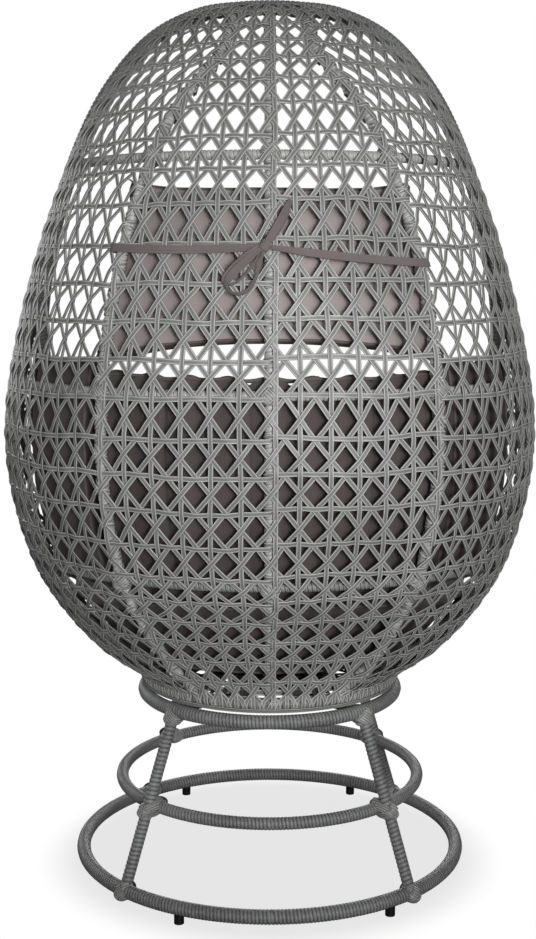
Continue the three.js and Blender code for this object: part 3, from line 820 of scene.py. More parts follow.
# points that carry a strand's end down over the outside of the hoop and under it
def hoopWrap(before, angle):
    heart = eggPoint(angle, 0)
    along = (eggPoint(angle + 0.4, 0) - eggPoint(angle - 0.4, 0)).normalized()
    radius = frameSpec["hoopTube"] / 2 + weave["thickness"] * 0.35
    normal = outward(angle, 1, 0)
    heading = heart - before
    hook = weave["hook"]
    lean = max(-hook["lean"], min(hook["lean"], heading.dot(along) / max(0.004, abs(heading.z))))
    stations = []
    for i in range(hook["steps"] + 1):
        phase = math.radians(hook["from"] + hook["over"] * i / hook["steps"])
        out = normal * math.cos(phase) - Vector((0, 0, math.sin(phase)))
        drift = lean * radius * hook["drift"] * (i / hook["steps"] - 0.3)
        stations.append((heart + out * radius + along * drift, out))
    return stations


# adds a hook to a strand's first end, 0, or its last, 1
def withHook(stations, hook, end):
    return stations + hook if end else hook[::-1] + stations


# the strand through the lattice, deeper or higher as it crosses others, and over the ribs
def strandStations(zone, family, route, first, last, count):
    stations = []
    for i in range(count + 1):
        u, v = route(first + (last - first) * i / count)
        angle, level = placeIn(zone, u, v)
        shift = strandShift(family, u, v)
        inset = weave["middle"] - shift * weave["thickness"]
        metres = max(0.1, smoothValue(halfWidths, level))
        for rib in zone["ribs"]:
            gap = abs(angle - ribAngle(rib, level)) * math.radians(1) * metres
            for reach, depth, step in weave["acrossRib"]:
                if gap < reach:
                    inset = min(inset, depth - step * (shift + 1))
                    break
        stations.append(stationAt(zone, angle, level, inset))
    return stations


# lays the strand's ends round the ribs that they meet
def roundRibs(stations, zone, family, ends):
    for end, (angle, level) in enumerate(ends):
        ribs = [ribAngle(rib, level) for rib in zone["ribs"]]
        near = [rib for rib in ribs if abs(rib - angle) < weave["atRib"]]
        if not near or not 0.01 < level < rimLevel(angle) - 0.015:
            continue
        if zone["low"] < 0 and near[0] == 0 and family != "level":  # these pass over the centre rib
            continue
        edge, inner = (stations[-1], stations[-2]) if end else (stations[0], stations[1])
        stations = withHook(stations, ribWrap(edge[0], inner[0], near[0], level), end)
    return stations


# lays the strand's ends over the hoop, if they reach it
def overHoop(stations, ends):
    clear = frameSpec["hoopTube"] / 2 + 0.0075
    for end, (angle, level) in enumerate(ends):
        if level > weave["hookLevel"]:
            continue
        heart = eggPoint(angle, 0)
        rest = [station for station in stations if (station[0] - heart).length > clear]
        if len(rest) > 2:
            stations = withHook(rest, hoopWrap(rest[-end][0], angle), end)
    return stations


# lays the bottom's strands down on to the hoop at both ends
def downToHoop(stations):
    for end in (0, 1):
        plan = stations[-end][0].xy.normalized()
        places = [Vector((*(plan * reach), height)) for reach, height in weave["bottomHook"]]
        stations = withHook(stations, [(place, Vector((0, 0, -1))) for place in places], end)
    return stations


# a strand of cane through (point, face) stations; its UVs are metres along from a random start and the
# share of the way round its section
def caneStrip(stations, width, thickness, lengths, closed=False):
    wide = [(point, face, width) for point, face in stations]
    section = weave["section"] + weave["section"][:1]
    strip = gridOf(sectionRows(wide, section, thickness, closed), "strand")
    layer = strip.data.uv_layers.active or strip.data.uv_layers.new()
    layer.name = "strand"
    offset = random.random() * 40
    uv = []
    for loop in strip.data.loops:
        row, column = divmod(loop.vertex_index, len(section))
        uv += [offset + lengths[row], min(1.0, column / (len(section) - 1))]
    layer.data.foreach_set("uv", uv)
    return strip


def layStrand(stations):
    lengths = [0.0]
    for a, b in zip(stations, stations[1:]):
        lengths.append(lengths[-1] + (b[0] - a[0]).length)
    return caneStrip(stations, weave["width"], weave["thickness"], lengths)


def weaveZone(name, zone):
    strands = []
    zone["cells"] = {}
    for line in strandLines(zone):
        family, route = line[:2]
        if zone["sign"] < 0:  # seen from outside, a rising strand lies over a falling one on both sides
            family = {"rising": "falling", "falling": "rising"}.get(family, family)
        for first, last in runsInside(line, zone):
            ends = [placeIn(zone, *route(s)) for s in (first, last)]
            places = [placeIn(zone, *route(first + (last - first) * i / 8)) for i in range(9)]
            length = pathLength([stationAt(zone, *place, 0)[0] for place in places])
            if length < weave["shortest"]:
                continue
            count = max(3, round(length / weave["step"]))
            stations = strandStations(zone, family, route, first, last, count)
            if zone.get("flat"):
                stations = downToHoop(stations)
            else:
                if family != "upright":
                    stations = roundRibs(stations, zone, family, ends)
                stations = overHoop(stations, ends)
            strands.append(layStrand(stations))
    print("  ", name, len(strands), "strands")
    return bundled(name, strands, 50, holes=8)


# start and end: the ribs that the lattice runs between; low: the panel's own first rib; first and last:
# its cells
wallZones = {
    "weave_back_cane": {
        "start": 0, "end": 33, "low": -33, "sign": 1, "first": -8, "last": 8, "seed": 1.0, "rowShift": 0,
        "ribs": [-33, 0, 33], "nodes": ["weave_back_right", "weave_back_left"],
    },
    "weave_side_right_cane": {
        "start": 33, "end": 90, "low": 33, "sign": 1, "first": 0, "last": 14, "seed": 5.0, "rowShift": -0.1,
        "ribs": [33, 90], "nodes": ["weave_side_right"],
    },
    "weave_side_left_cane": {
        "start": 33, "end": 90, "low": 33, "sign": -1, "first": 0, "last": 14, "seed": 9.0, "rowShift": -0.08,
        "ribs": [-33, -90], "nodes": ["weave_side_left"],
    },
    "weave_front_right_cane": {
        "start": 90, "end": 180, "low": 90, "sign": 1, "first": 0, "last": 22, "seed": 13.0, "rowShift": 0,
        "ribs": [90, 180], "nodes": ["weave_front_right"],
    },
    "weave_front_left_cane": {
        "start": 90, "end": 180, "low": 90, "sign": -1, "first": 0, "last": 22, "seed": 17.0, "rowShift": 0,
        "ribs": [-90, -180], "nodes": ["weave_front_left"],
    },
}
bottomZone = {
    "flat": True, "cell": 0.046, "radius": 0.203, "height": 0.373, "sign": 1, "first": -6, "last": 6,
    "seed": 21.0, "ribs": [], "nodes": ["weave_bottom"],
}
for name, zone in {**wallZones, "weave_bottom_cane": bottomZone}.items():
    finishPiece(weaveZone(name, zone), caneStrand, "basket", "cane", *zone["nodes"])

print("stage: lashings")
lashSpec = {
    "width": 0.0052,
    "thickness": 0.0018,
    "steps": 22,
    "spread": 0.0046,
    "uneven": 0.0012,
    "squeeze": 0.10,  # how much less each band reaches, as it lies further from the joint's middle
    "rise": 0.00025,  # each band lies on the one before
    # at each ring of the base: half width, bands each way and how far they sit below the joint, clear of the
    # basket that turns over the top ring
    "base": {"top_ring": (0.0186, 6, 0.0085), "mid_ring": (0.0168, 5, 0), "floor_ring": (0.0164, 5, 0)},
    "overRing": 0.0016,
    "railDepth": 0.0120,
    "railReach": (0.0165, 0.0122),
    # strands laid along the hoop's lower edge over the weave's ends: degrees below level, and further out
    "alongHoop": [(38, 0.0), (64, 0.0008)],
    "alongHoopWidth": 0.0068,
    # one more along the edge of the woven bottom, between it and the hoop: radius, height and width
    "alongBottom": (0.2120, 0.3668, 0.0108),
    "ringSteps": 120,
}


def strandBand(stations, width, thickness):
    count = len(stations)
    reach = pathLength([point for point, face in stations], True) / count
    return caneStrip(stations, width, thickness, [row * reach for row in range(count + 1)], closed=True)


# flat cane wrapped crosswise over the place where two tubes meet, as a list of closed bands
def lashing(centre, first, second, normal, radii, turns):
    bands = []
    lift = 0.0
    for crossing, other in ((first + second, first - second), (first - second, first + second)):
        lead, side = crossing.normalized(), other.normalized()
        side = (side - lead * side.dot(lead)).normalized()
        for k in range(turns):
            away = k - (turns - 1) / 2
            shift = away * lashSpec["spread"] + (random.random() - 0.5) * lashSpec["uneven"]
            squeeze = 1 - lashSpec["squeeze"] * abs(away)
            wide, deep = radii[0], radii[1] + lift
            stations = []
            for i in range(lashSpec["steps"]):
                turn = 2 * math.pi * i / lashSpec["steps"]
                out = normal * math.cos(turn) * deep + lead * math.sin(turn) * wide * squeeze
                face = normal * math.cos(turn) / deep + lead * math.sin(turn) / wide
                stations.append((centre + side * shift + out, face.normalized()))
            bands.append(strandBand(stations, lashSpec["width"], lashSpec["thickness"]))
            lift += lashSpec["rise"]
    return bands


# a strand laid in a level ring, whose face looks outwards and that many degrees down
def ringBand(radius, height, down, width):
    turn = math.radians(down)
    points = ringPoints(radius, height, lashSpec["ringSteps"])
    faces = ringPoints(math.cos(turn), -math.sin(turn), lashSpec["ringSteps"])
    return strandBand(list(zip(points, faces)), width, weave["thickness"])


def tangentOf(function, at, step=0.01):
    return (function(at + step) - function(at - step)).normalized()


baseBands = []
for angle in baseSpec["legs"].values():
    turned = angle - baseSpec["turn"]
    low, high = legEnds(angle)
    slope = (high - low).normalized()
    face = outward(turned, 1.0, 0.0)
    around = Vector((math.cos(math.radians(turned)), math.sin(math.radians(turned)), 0))
    for name, (wide, turns, drop) in lashSpec["base"].items():
        radius, height, tube = baseSpec["rings"][name]
        onLeg = low + (high - low) * ((height - low.z) / (high.z - low.z))
        onRing = outward(turned, radius, height)
        centre = (onLeg + onRing) / 2 - Vector((0, 0, drop))
        deep = tube / 2 + lashSpec["overRing"] + (onLeg - onRing).length / 2
        upward = slope if name == "mid_ring" else Vector((0, 0, 0.85)) - face * 0.2
        baseBands += lashing(centre, around, upward, face, (wide, deep), turns)
finishPiece(bundled("base_lashings", baseBands, 50), caneStrand, "base", "cane")

basketBands = []
for height in frameSpec["rails"].values():
    level = levelAt(height)
    for rib in (0, 33, -33, 90, -90):
        angle = ribAngle(rib, level)
        around = tangentOf(lambda a: eggPoint(a, level), angle, 0.3)
        upward = tangentOf(lambda v: eggPoint(ribAngle(rib, v), v), level)
        centre = insetPoint(angle, level, lashSpec["railDepth"])
        basketBands += lashing(centre, around, upward, eggNormal(angle, level), lashSpec["railReach"], 5)
for down, further in lashSpec["alongHoop"]:
    reach = frameSpec["hoopTube"] / 2 + weave["thickness"] * 1.3 + further
    turn = math.radians(down)
    place = (hoopRadius + reach * math.cos(turn), hoopHeight - reach * math.sin(turn))
    basketBands.append(ringBand(*place, down, lashSpec["alongHoopWidth"]))
radius, height, width = lashSpec["alongBottom"]
basketBands.append(ringBand(radius, height, 0, width))
finishPiece(bundled("frame_lashings", basketBands, 50), caneStrand, "basket", "cane")

print("stage: cushions")
softSpec = {
    "voxel": 0.0068,
    "startsSmaller": 0.007,
    "pressure": 4.0,
    "quality": 4,
    "mass": 0.3,
    "frames": 20,
    "travel": 0.026,
    "pull": (0.035, 0.035),  # how far the sides and the top draw in between the corners
    "backBulge": 0.008,
    "edge": 0.42,  # share of the thickness that is left at the edge
    "edgeAt": 0.985,  # where the piping lies, as a share of the way out
    "channel": 0.12,
    "ribFace": 0.0206,
    "hump": 0.015,  # how far each channel stands up over its seams along the top
    "seamDepth": 0.0036,
    "seamHalf": 0.0052,
    "puckerHalf": 0.03,
    "puckerDepth": 0.0013,
    "sink": 0.0006,  # how far the cloth near a seam is pulled in
    "creaseDepth": 0.0011,
    "pipe": 0.0052,
    "pipeSteps": 160,
    "pads": {
        "back_cushion": {
            "angles": (-39.9, 39.9), "low": 0.492, "high": 0.921, "thick": 0.096, "slack": 0.0016, "arch": 0,
            "channels": 9, "cells": (126, 44), "fill": 0.7,
        },
        "side_cushion_right": {
            "angles": (41.2, 67.5), "low": 0.521, "high": 0.940, "thick": 0.066, "slack": 0.0002, "arch": 0,
            "channels": 2, "cells": (40, 44), "fill": 0.6,
        },
        "side_cushion_left": {
            "angles": (-67.5, -41.2), "low": 0.521, "high": 0.940, "thick": 0.066, "slack": 0.0002, "arch": 0,
            "channels": 2, "cells": (40, 44), "fill": 0.6,
        },
        # its corners stand out, as the filling doesn't reach into them: ears is how far along and up
        "head_pillow": {
            "angles": (-41.5, 41.5), "low": 0.944, "high": 1.230, "thick": 0.112, "slack": 0.0027,
            "arch": 0.017, "pull": (0.085, 0.0425), "ears": (0.075, 0.014), "channels": 0, "cells": (90, 36),
            "fill": 0.8,
        },
        "seat_cushion": {
            "low": 0.3751, "thick": 0.150, "inset": 0.0367, "edge": 0.74, "channels": 0, "cells": (56, 56),
            "fill": 0.9,
        },
    },
}
tableStep = 0.005
levelTable = [levelAt(hoopHeight + i * tableStep) for i in range(240)]


# levelAt, looked up in a table
def quickLevel(height):
    place = max(0.0, min(len(levelTable) - 1.1, (height - hoopHeight) / tableStep))
    i = int(place)
    return levelTable[i] + (levelTable[i + 1] - levelTable[i]) * (place - i)


def smoothEdge(share):
    return math.sqrt(max(0.0, 1 - share**4))


# a point on the pad's back, side 0, or front, side 1; across and up run from -1 to 1
def wallPad(spec, across, up, side):
    first, last = spec["angles"]
    pullAcross, pullUp = spec.get("pull", softSpec["pull"])
    drawnAcross = across * (1 - pullAcross * (1 - up**2))
    drawnUp = up * (1 - pullUp * (1 - across**2))
    angle = (first + last) / 2 + (last - first) / 2 * drawnAcross
    lift = spec["arch"] * (1 - across**2) * (1 - up) / 2
    if "ears" in spec:
        ear = abs(across) ** 5 * abs(up) ** 5
        angle *= 1 + spec["ears"][0] * ear
        lift += math.copysign(spec["ears"][1] * ear, up)
    groove = 0
    if spec["channels"]:
        full = abs(math.sin(spec["channels"] * math.pi * (across + 1) / 2))
        lift += softSpec["hump"] * full * max(0.0, up) ** 4
        groove = softSpec["channel"] * (1 - full)
    level = quickLevel((spec["low"] + spec["high"]) / 2 + (spec["high"] - spec["low"]) / 2 * drawnUp + lift)
    crown = smoothEdge(across) * smoothEdge(up)
    bulge = softSpec["backBulge"]
    if side:
        depth = bulge + (spec["thick"] - bulge) * (softSpec["edge"] + (1 - softSpec["edge"] - groove) * crown)
    else:
        depth = bulge * (1 - crown) + spec["thick"] / 2 * groove * crown
    return insetPoint(angle, level, softSpec["ribFace"] + spec["slack"] + depth)


# the seat's round plan, which follows the basket as it narrows with depth
def seatPad(spec, across, along, side):
    sideways, forward = across * math.sqrt(1 - along**2 / 2), along * math.sqrt(1 - across**2 / 2)
    out = min(1.0, math.hypot(sideways, forward))
    half = spec["thick"] / 2 * (spec["edge"] + (1 - spec["edge"]) * smoothEdge(out))
    height = spec["low"] + spec["thick"] / 2 + (-half if side else half)
    level = quickLevel(height)
    plan = (halfWidths, backs, fronts, centres)
    width, back, front, centre = (smoothValue(column, level) for column in plan)
    reach = front - centre if forward > 0 else back + centre
    return Vector((sideways * (width - spec["inset"]), centre + forward * (reach - spec["inset"]), height))


def padPlace(spec, across, up, side):
    return wallPad(spec, across, up, side) if "angles" in spec else seatPad(spec, across, up, side)


# even steps round a half circle, closer together towards the edges
def eased(count):
    return [math.sin(math.pi / 2 * (2 * i / count - 1)) for i in range(count + 1)]


# both faces of a pad as grids, bridged along their edges
def padShell(name, spec):
    wide, tall = (eased(count) for count in spec["cells"])
    sheets = []
    for side in (0, 1):
        rows = [[padPlace(spec, across, up, side) for across in wide] for up in tall]
        sheets.append(gridOf(rows, name))
    shell = joined(name, sheets)
    bpy.ops.object.mode_set(mode="EDIT")
    bpy.ops.mesh.select_all(action="DESELECT")
    bpy.ops.mesh.select_mode(type="EDGE")
    bpy.ops.mesh.select_non_manifold()
    bpy.ops.mesh.bridge_edge_loops()
    bpy.ops.mesh.select_all(action="SELECT")
    bpy.ops.mesh.normals_make_consistent(inside=False)
    bpy.ops.object.mode_set(mode="OBJECT")
    return shell


# metres to the nearest channel seam, over the pad
def seamDistance(point, spec):
    level = quickLevel(point.z)
    side, back, centre = (smoothValue(column, level) for column in (halfWidths, backs, centres))
    angle = math.degrees(math.atan2(point.x / side, (centre - point.y) / (back + centre)))
    first, last = spec["angles"]
    across = (angle - (first + last) / 2) / ((last - first) / 2)
    step = 2 / spec["channels"]
    nearest = round((across + 1) / step) * step - 1
    if abs(nearest) > 0.999:
        return 1.0
    return abs(across - nearest) * math.radians((last - first) / 2) * side


# places round the pad's edge, on its back or its front
def padEdge(spec, side, count):
    places = []
    for i in range(count):
        turn = 2 * math.pi * i / count
        across, up = math.cos(turn), math.sin(turn)
        square = max(abs(across), abs(up))
        edge = softSpec["edgeAt"]
        places.append(padPlace(spec, across * edge / square, up * edge / square, side))
    return places


def treeOf(obj):
    faces = [face.vertices[:] for face in obj.data.polygons]
    return BVHTree.FromPolygons([vertex.co.copy() for vertex in obj.data.vertices], faces)


# fills the cover by cloth simulation: pressure inside, held along its edges and the channel seams
def blowUp(shell, spec, start):
    pins = shell.vertex_groups.new(name="seam")
    rims = [place for side in (0, 1) for place in padEdge(spec, side, 200)]
    edges = KDTree(len(rims))
    for i, place in enumerate(rims):
        edges.insert(place, i)
    edges.balance()
    held = [i for i, co in enumerate(start) if edges.find(co)[2] < softSpec["startsSmaller"] * 1.6]
    if spec["channels"]:
        held += [i for i, co in enumerate(start) if seamDistance(co, spec) < softSpec["voxel"] * 0.6]
    pins.add(held, 1.0, "REPLACE")
    cloth = shell.modifiers.new("cloth", "CLOTH")
    cloth.settings.quality = softSpec["quality"]
    cloth.settings.mass = softSpec["mass"]
    cloth.settings.use_pressure = True
    cloth.settings.uniform_pressure_force = softSpec["pressure"]
    cloth.settings.effector_weights.gravity = 0
    cloth.settings.vertex_group_mass = "seam"
    cloth.collision_settings.use_collision = False
    cloth.point_cache.frame_end = softSpec["frames"]
    for step in range(1, softSpec["frames"] + 1):
        bpy.context.scene.frame_set(step)
    applyAll(shell)
    bpy.context.scene.frame_set(1)


# a pad that starts a little smaller than its place, is blown up, and is kept inside its place
def stuffedPad(name, spec):
    shell = padShell(name + "_cloth", spec)
    tree = treeOf(shell)
    bpy.ops.object.mode_set(mode="EDIT")
    bpy.ops.mesh.select_all(action="SELECT")
    bpy.ops.transform.shrink_fatten(value=-softSpec["startsSmaller"])
    bpy.ops.object.mode_set(mode="OBJECT")
    remesh = shell.modifiers.new("remesh", "REMESH")
    remesh.mode = "VOXEL"
    remesh.voxel_size = softSpec["voxel"]
    applyAll(shell)
    start = [v.co.copy() for v in shell.data.vertices]
    blowUp(shell, spec, start)
    for vertex, began in zip(shell.data.vertices, start):
        moved = vertex.co - began
        if moved.length > softSpec["travel"]:
            vertex.co = began + moved * (softSpec["travel"] / moved.length)
        spot, normal, _, _ = tree.find_nearest(vertex.co)
        if (vertex.co - spot).dot(normal) > 0:
            vertex.co = spot
    finer = shell.modifiers.new("finer", "SUBSURF")
    finer.levels = finer.render_levels = 1
    applyAll(shell)
    sewn(shell, spec)
    bpy.ops.object.shade_smooth()
    return shell


# sews the channels in: a narrow groove with small puckers across it, and soft creases over the rest
def sewn(pad, spec):
    normals = [v.normal.copy() for v in pad.data.vertices]
    for vertex, normal in zip(pad.data.vertices, normals):
        co = vertex.co
        dent = softSpec["creaseDepth"] * (noise.noise(co * 11.0) + 0.6 * noise.noise(co * 27.0) - 0.8)
        if spec["channels"]:
            far = seamDistance(co, spec)
            if far < softSpec["puckerHalf"]:
                pucker = noise.noise(Vector((co.x * 16, co.y * 16, co.z * 95)))
                fade = 1 - far / softSpec["puckerHalf"]
                dent += softSpec["puckerDepth"] * pucker * fade - softSpec["sink"]
            if far < softSpec["seamHalf"]:
                dent -= softSpec["seamDepth"] * (1 - (far / softSpec["seamHalf"]) ** 2)
        vertex.co = co + normal * dent
    pad.data.update()


# a cord sewn into the pad's edge, before and behind
def piping(name, spec, pad):
    tree = treeOf(pad)
    count = softSpec["pipeSteps"]
    cords = []
    for side in (0, 1):
        loop = []
        for place in padEdge(spec, side, count):
            spot, normal, _, _ = tree.find_nearest(place)
            loop.append(spot + normal * 0.0004)
        for _ in range(3):
            loop = [(loop[i - 1] + loop[i] * 2 + loop[(i + 1) % count]) / 4 for i in range(count)]
        smooth = {"closed": True, "pitch": 0.008, "profile": "plain", "sides": 8}
        cords.append(woundTube(name + "_piping", loop, softSpec["pipe"], **smooth))
    return joined(name + "_piping", cords)


# each pad takes the cushions' cloth, darkened as painted shade, but the head pillow takes the same cloth made
# lighter as painted light
for name, spec in softSpec["pads"].items():
    pad = stuffedPad(name, spec)
    fabric = pillowFabricPaintedLit if name == "head_pillow" else cushionFabricPaintedShade
    finishPiece(pad, fabric, "basket", "cushion_fabric", name)
    finishPiece(piping(name, spec, pad), pipingFabric, "basket", "cushion_fabric")
    print("  ", name, len(pad.data.polygons), "faces")

print("stage: pillow tie")
tieSpec = {
    "height": 1.112,
    "knot": -0.0075,  # the bow sits a little left of the centre rib
    "width": 0.0132,
    "thickness": 0.0013,
    "off": 0.0047,  # clear of the weave's outer strands
    "drop": 0.024,  # the right end lies lower than the left
    "sag": 0.004,
    "turnsRound": 0.0042,  # clear of the back ribs' tubes, round which the ends go
    # at the knot, how far the left and right strap are gathered to a narrower width and rolled upwards
    "gathered": {-1: 0.25, 1: 0.45},
    "rolled": {-1: 0.2, 1: 0.5},
    # flat tape with one edge folded over and thick edges, as a woven selvedge is
    "section": [
        (-1, 0.2), (-0.93, 1.15), (-0.8, 0.9), (-0.3, 0.8), (-0.25, 1.8), (0.8, 1.6),
        (0.93, 1.8), (1, 0.2), (0.93, -0.9), (0, -0.9), (-0.93, -0.9), (-1, 0.2),
    ],
    # metres right and up from the knot, out from the weave, face turn in degrees and width share
    "loops": [
        [
            (-0.001, 0, 0.006, 20, 0.55), (-0.018, -0.015, 0.01, 10, 0.85), (-0.037, -0.033, 0.013, 5, 1),
            (-0.052, -0.049, 0.011, 10, 0.95), (-0.057, -0.058, 0.008, 50, 0.7),
            (-0.052, -0.067, 0.006, 72, 0.7), (-0.04, -0.071, 0.006, 72, 0.7),
            (-0.027, -0.067, 0.006, 74, 0.7), (-0.016, -0.053, 0.007, 74, 0.7),
            (-0.009, -0.034, 0.008, 72, 0.65), (-0.004, -0.014, 0.007, 60, 0.5),
            (0, -0.002, 0.005, 30, 0.5),
        ],
        [
            (-0.002, 0.003, 0.005, 20, 0.5), (-0.02, -0.008, 0.006, -20, 0.55),
            (-0.04, -0.024, 0.007, -30, 0.6), (-0.056, -0.041, 0.006, -20, 0.6),
            (-0.061, -0.051, 0.005, 30, 0.5), (-0.054, -0.057, 0.0045, 75, 0.45),
            (-0.04, -0.052, 0.0045, 80, 0.45), (-0.022, -0.034, 0.0045, 80, 0.45),
            (-0.006, -0.01, 0.0045, 60, 0.4),
        ],
    ],
    "tails": [
        [
            (0.001, 0.002, 0.006, 0, 0.6), (0.01, 0.014, 0.009, -8, 0.95), (0.021, 0.033, 0.008, -10, 1),
            (0.031, 0.053, 0.005, -5, 0.85), (0.038, 0.069, 0.003, 0, 0.6),
        ],
        [
            (0.002, 0.001, 0.004, 30, 0.5), (0.016, 0.016, 0.005, 60, 0.55), (0.029, 0.036, 0.004, 70, 0.5),
            (0.036, 0.055, 0.003, 60, 0.45),
        ],
    ],
    # the turns round the knot: shift along it and size
    "knotTurns": [(-0.0032, 0.95), (0.0034, 1.0)],
    "knotHalf": (0.0078, 0.0056),
    "knotOut": 0.0045,
    "knotWidth": 0.62,
}
tieLevel = levelAt(tieSpec["height"])


# evenly spaced Catmull-Rom values through tuples of numbers
def smoothPath(stops, steps):
    count = (len(stops) - 1) * steps
    tracks = [list(track) for track in zip(*stops)]
    return [[smoothValue(track, i / count) for track in tracks] for i in range(count + 1)]


def tapeStrip(stations):
    return gridOf(sectionRows(stations, tieSpec["section"], tieSpec["thickness"]), "tape")


# a place beside the knot, measured over the basket's face
def bowPlace(right, up, out):
    level = levelAt(tieSpec["height"] + up)
    angle = math.degrees((tieSpec["knot"] + right) / smoothValue(halfWidths, level))
    return insetPoint(angle, level, -tieSpec["off"] - out), eggNormal(angle, level)


# one strap, from the knot over the weave to a back rib and round it
def strap(sign, steps=48):
    stations = []
    end = ribAngle(33, tieLevel) + 0.9
    knotAngle = math.degrees(tieSpec["knot"] / smoothValue(halfWidths, tieLevel))
    for i in range(steps + 1):
        share = i / steps
        angle = knotAngle + (sign * end - knotAngle) * share
        fall = (tieSpec["drop"] if sign > 0 else 0.0) * share + tieSpec["sag"] * math.sin(math.pi * share)
        level = levelAt(tieSpec["height"] - fall)
        width = tieSpec["width"] * (1 - tieSpec["gathered"][sign] * max(0.0, 1 - share / 0.22))
        roll = Vector((0, 0, 1)) * tieSpec["rolled"][sign] * max(0.0, 1 - share / 0.3)
        point = insetPoint(angle, level, -tieSpec["off"] - 0.003 * max(0.0, 1 - share / 0.12))
        stations.append((point, (eggNormal(angle, level) + roll).normalized(), width))
    point, face, width = stations[-1]
    heart = insetPoint(sign * end, tieLevel, frameSpec["ribInset"])
    around = (point - stations[-2][0]).normalized()
    drop = Vector((0, 0, point.z - insetPoint(sign * end, tieLevel, 0).z))
    reach = frameSpec["ribTube"] / 2 + tieSpec["turnsRound"]
    for k in range(1, 7):
        phase = math.radians(26 * k)
        out = face * math.cos(phase) + around * math.sin(phase)
        deep = frameSpec["ribInset"] + tieSpec["off"] if math.cos(phase) > 0 else reach
        place = heart + drop + around * math.sin(phase) * reach + face * math.cos(phase) * deep
        stations.append((place, out.normalized(), width))
    return tapeStrip(stations)


# one loop or tail of the bow
def bowStrip(stops):
    path = smoothPath(stops, 6)
    places = [bowPlace(right, up, out) for right, up, out, _, _ in path]
    last = len(places) - 1
    stations = []
    for i, ((point, normal), (_, _, _, degrees, share)) in enumerate(zip(places, path)):
        along = (places[min(last, i + 1)][0] - places[max(0, i - 1)][0]).normalized()
        side = along.cross(normal).normalized()
        turn = math.radians(degrees)
        stations.append((point, normal * math.cos(turn) + side * math.sin(turn), tieSpec["width"] * share))
    return tapeStrip(stations)


# the tape's turns round the middle of the bow
def knotStrips(steps=24):
    point, face = bowPlace(0, 0, tieSpec["knotOut"])
    along = (bowPlace(0.01, 0.012, tieSpec["knotOut"])[0] - point).normalized()
    side = along.cross(face).normalized()
    wide, deep = tieSpec["knotHalf"]
    width = tieSpec["width"] * tieSpec["knotWidth"]
    strips = []
    for shift, size in tieSpec["knotTurns"]:
        ring = []
        for i in range(steps + 1):
            turn = 2 * math.pi * i / steps
            out = side * math.cos(turn) * wide * size + face * math.sin(turn) * deep * size
            ring.append((point + along * shift + out, out.normalized(), width))
        strips.append(tapeStrip(ring))
    return strips


tapeStrips = [strap(-1), strap(1)]
tapeStrips += [bowStrip(stops) for stops in tieSpec["loops"] + tieSpec["tails"]]
tie = bundled("pillow_tie_tape", tapeStrips + knotStrips(), 60, holes=12)
finishPiece(tie, tapeFabric, "basket", "tie_tape", "pillow_tie")

print("stage: floor and light")
studio = {
    "floor": "#3e3e3e",
    "floorSize": 24,
    "shade": (0.335, 0.44),  # radii between which the floor fades to plain white
    "lift": 0.785,  # share of plain white that the camera sees under the chair
    "sky": 0.10,
    "lamps": {
        "key": {"place": (1.2, -4.3, 1.35), "size": 1.5, "watts": 57},
        "fill": {"place": (-2.8, -1.8, 1.2), "size": 2.4, "watts": 6},
        "front": {"place": (0.7, 4.4, 1.6), "size": 2.6, "watts": 80},
        "side": {"place": (-3.0, 3.6, 1.6), "size": 2.2, "watts": 50},
        "middle": {"place": (0.5, -3.7, 1.2), "aim": (0, 0, 0.93), "cone": 34, "size": 0.3, "watts": 200},
    },
}


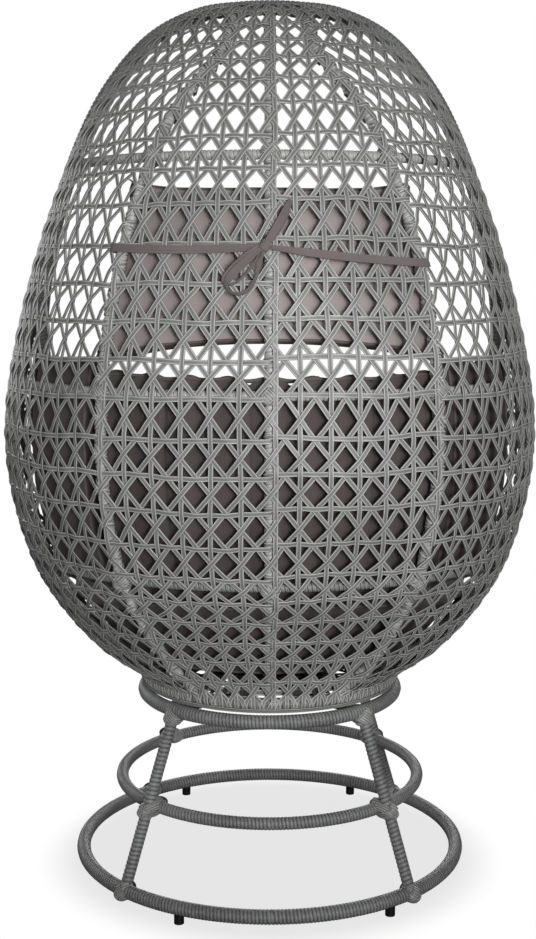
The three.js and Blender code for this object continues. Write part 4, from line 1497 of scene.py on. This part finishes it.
# matt paper, dark to the lamps so that it throws little light up, which the camera sees fade to plain white
def floorMaterial():
    material, shader = newMaterial("floorPaper")
    shader.inputs["Base Color"].default_value = toLinear(studio["floor"])
    shader.inputs["Roughness"].default_value = 0.95
    shader.inputs["Specular IOR Level"].default_value = 0.1
    spot = addNode(material, "ShaderNodeTexCoord")
    away = addNode(material, "ShaderNodeVectorMath", [(0, spot, "Object")], operation="LENGTH")
    near, far = studio["shade"]
    edge = {"interpolation_type": "SMOOTHSTEP", "From_Min": near, "From_Max": far}
    fade = addNode(material, "ShaderNodeMapRange", [("Value", away, "Value")], **edge)
    ray = addNode(material, "ShaderNodeLightPath")
    lift = addNode(material, "ShaderNodeMapRange", [("Value", fade, "Result")], To_Min=studio["lift"])
    both = [(0, lift, "Result"), (1, ray, "Is Camera Ray")]
    seen = addNode(material, "ShaderNodeMath", both, operation="MULTIPLY")
    glow = addNode(material, "ShaderNodeEmission", Strength=1.0)
    shaders = [(0, seen, "Value"), (1, shader, "BSDF"), (2, glow, "Emission")]
    mix = addNode(material, "ShaderNodeMixShader", shaders)
    plug(material, mix, "Shader", material.node_tree.nodes["Material Output"], "Surface")
    return material


deselect()
bpy.ops.mesh.primitive_grid_add(x_subdivisions=8, y_subdivisions=8, size=studio["floorSize"])
floor = bpy.context.object
floor.name = "studioFloor"
floor.data.materials.append(floorMaterial())


# an area lamp, or a spot with a soft edge if it has a cone
def addLamp(name, spec):
    bpy.ops.object.light_add(type="SPOT" if "cone" in spec else "AREA", location=spec["place"])
    lamp = bpy.context.object
    lamp.name = name
    way = Vector(spec.get("aim", (0, 0, 0.8))) - Vector(spec["place"])
    lamp.rotation_euler = way.to_track_quat("-Z", "Y").to_euler()
    lamp.data.energy = spec["watts"]
    if "cone" in spec:
        lamp.data.spot_size = math.radians(spec["cone"])
        lamp.data.spot_blend = 1.0
        lamp.data.shadow_soft_size = spec["size"]
    else:
        lamp.data.size = spec["size"]


# a weak sky for the chair, and plain white where the camera sees past it
def setWorld():
    world = bpy.data.worlds.new("studio")
    bpy.context.scene.world = world
    world.use_nodes = True
    white = (1, 1, 1, 1)
    sky = world.node_tree.nodes["Background"]
    sky.inputs["Color"].default_value = white
    sky.inputs["Strength"].default_value = studio["sky"]
    backdrop = addNode(world, "ShaderNodeBackground", Color=white, Strength=1.0)
    rays = addNode(world, "ShaderNodeLightPath")
    links = [(0, rays, "Is Camera Ray"), (1, sky, 0), (2, backdrop, 0)]
    mix = addNode(world, "ShaderNodeMixShader", links)
    plug(world, mix, 0, world.node_tree.nodes["World Output"], "Surface")


for name, spec in studio["lamps"].items():
    addLamp(name, spec)
setWorld()
bpy.context.scene.view_settings.view_transform = "Standard"
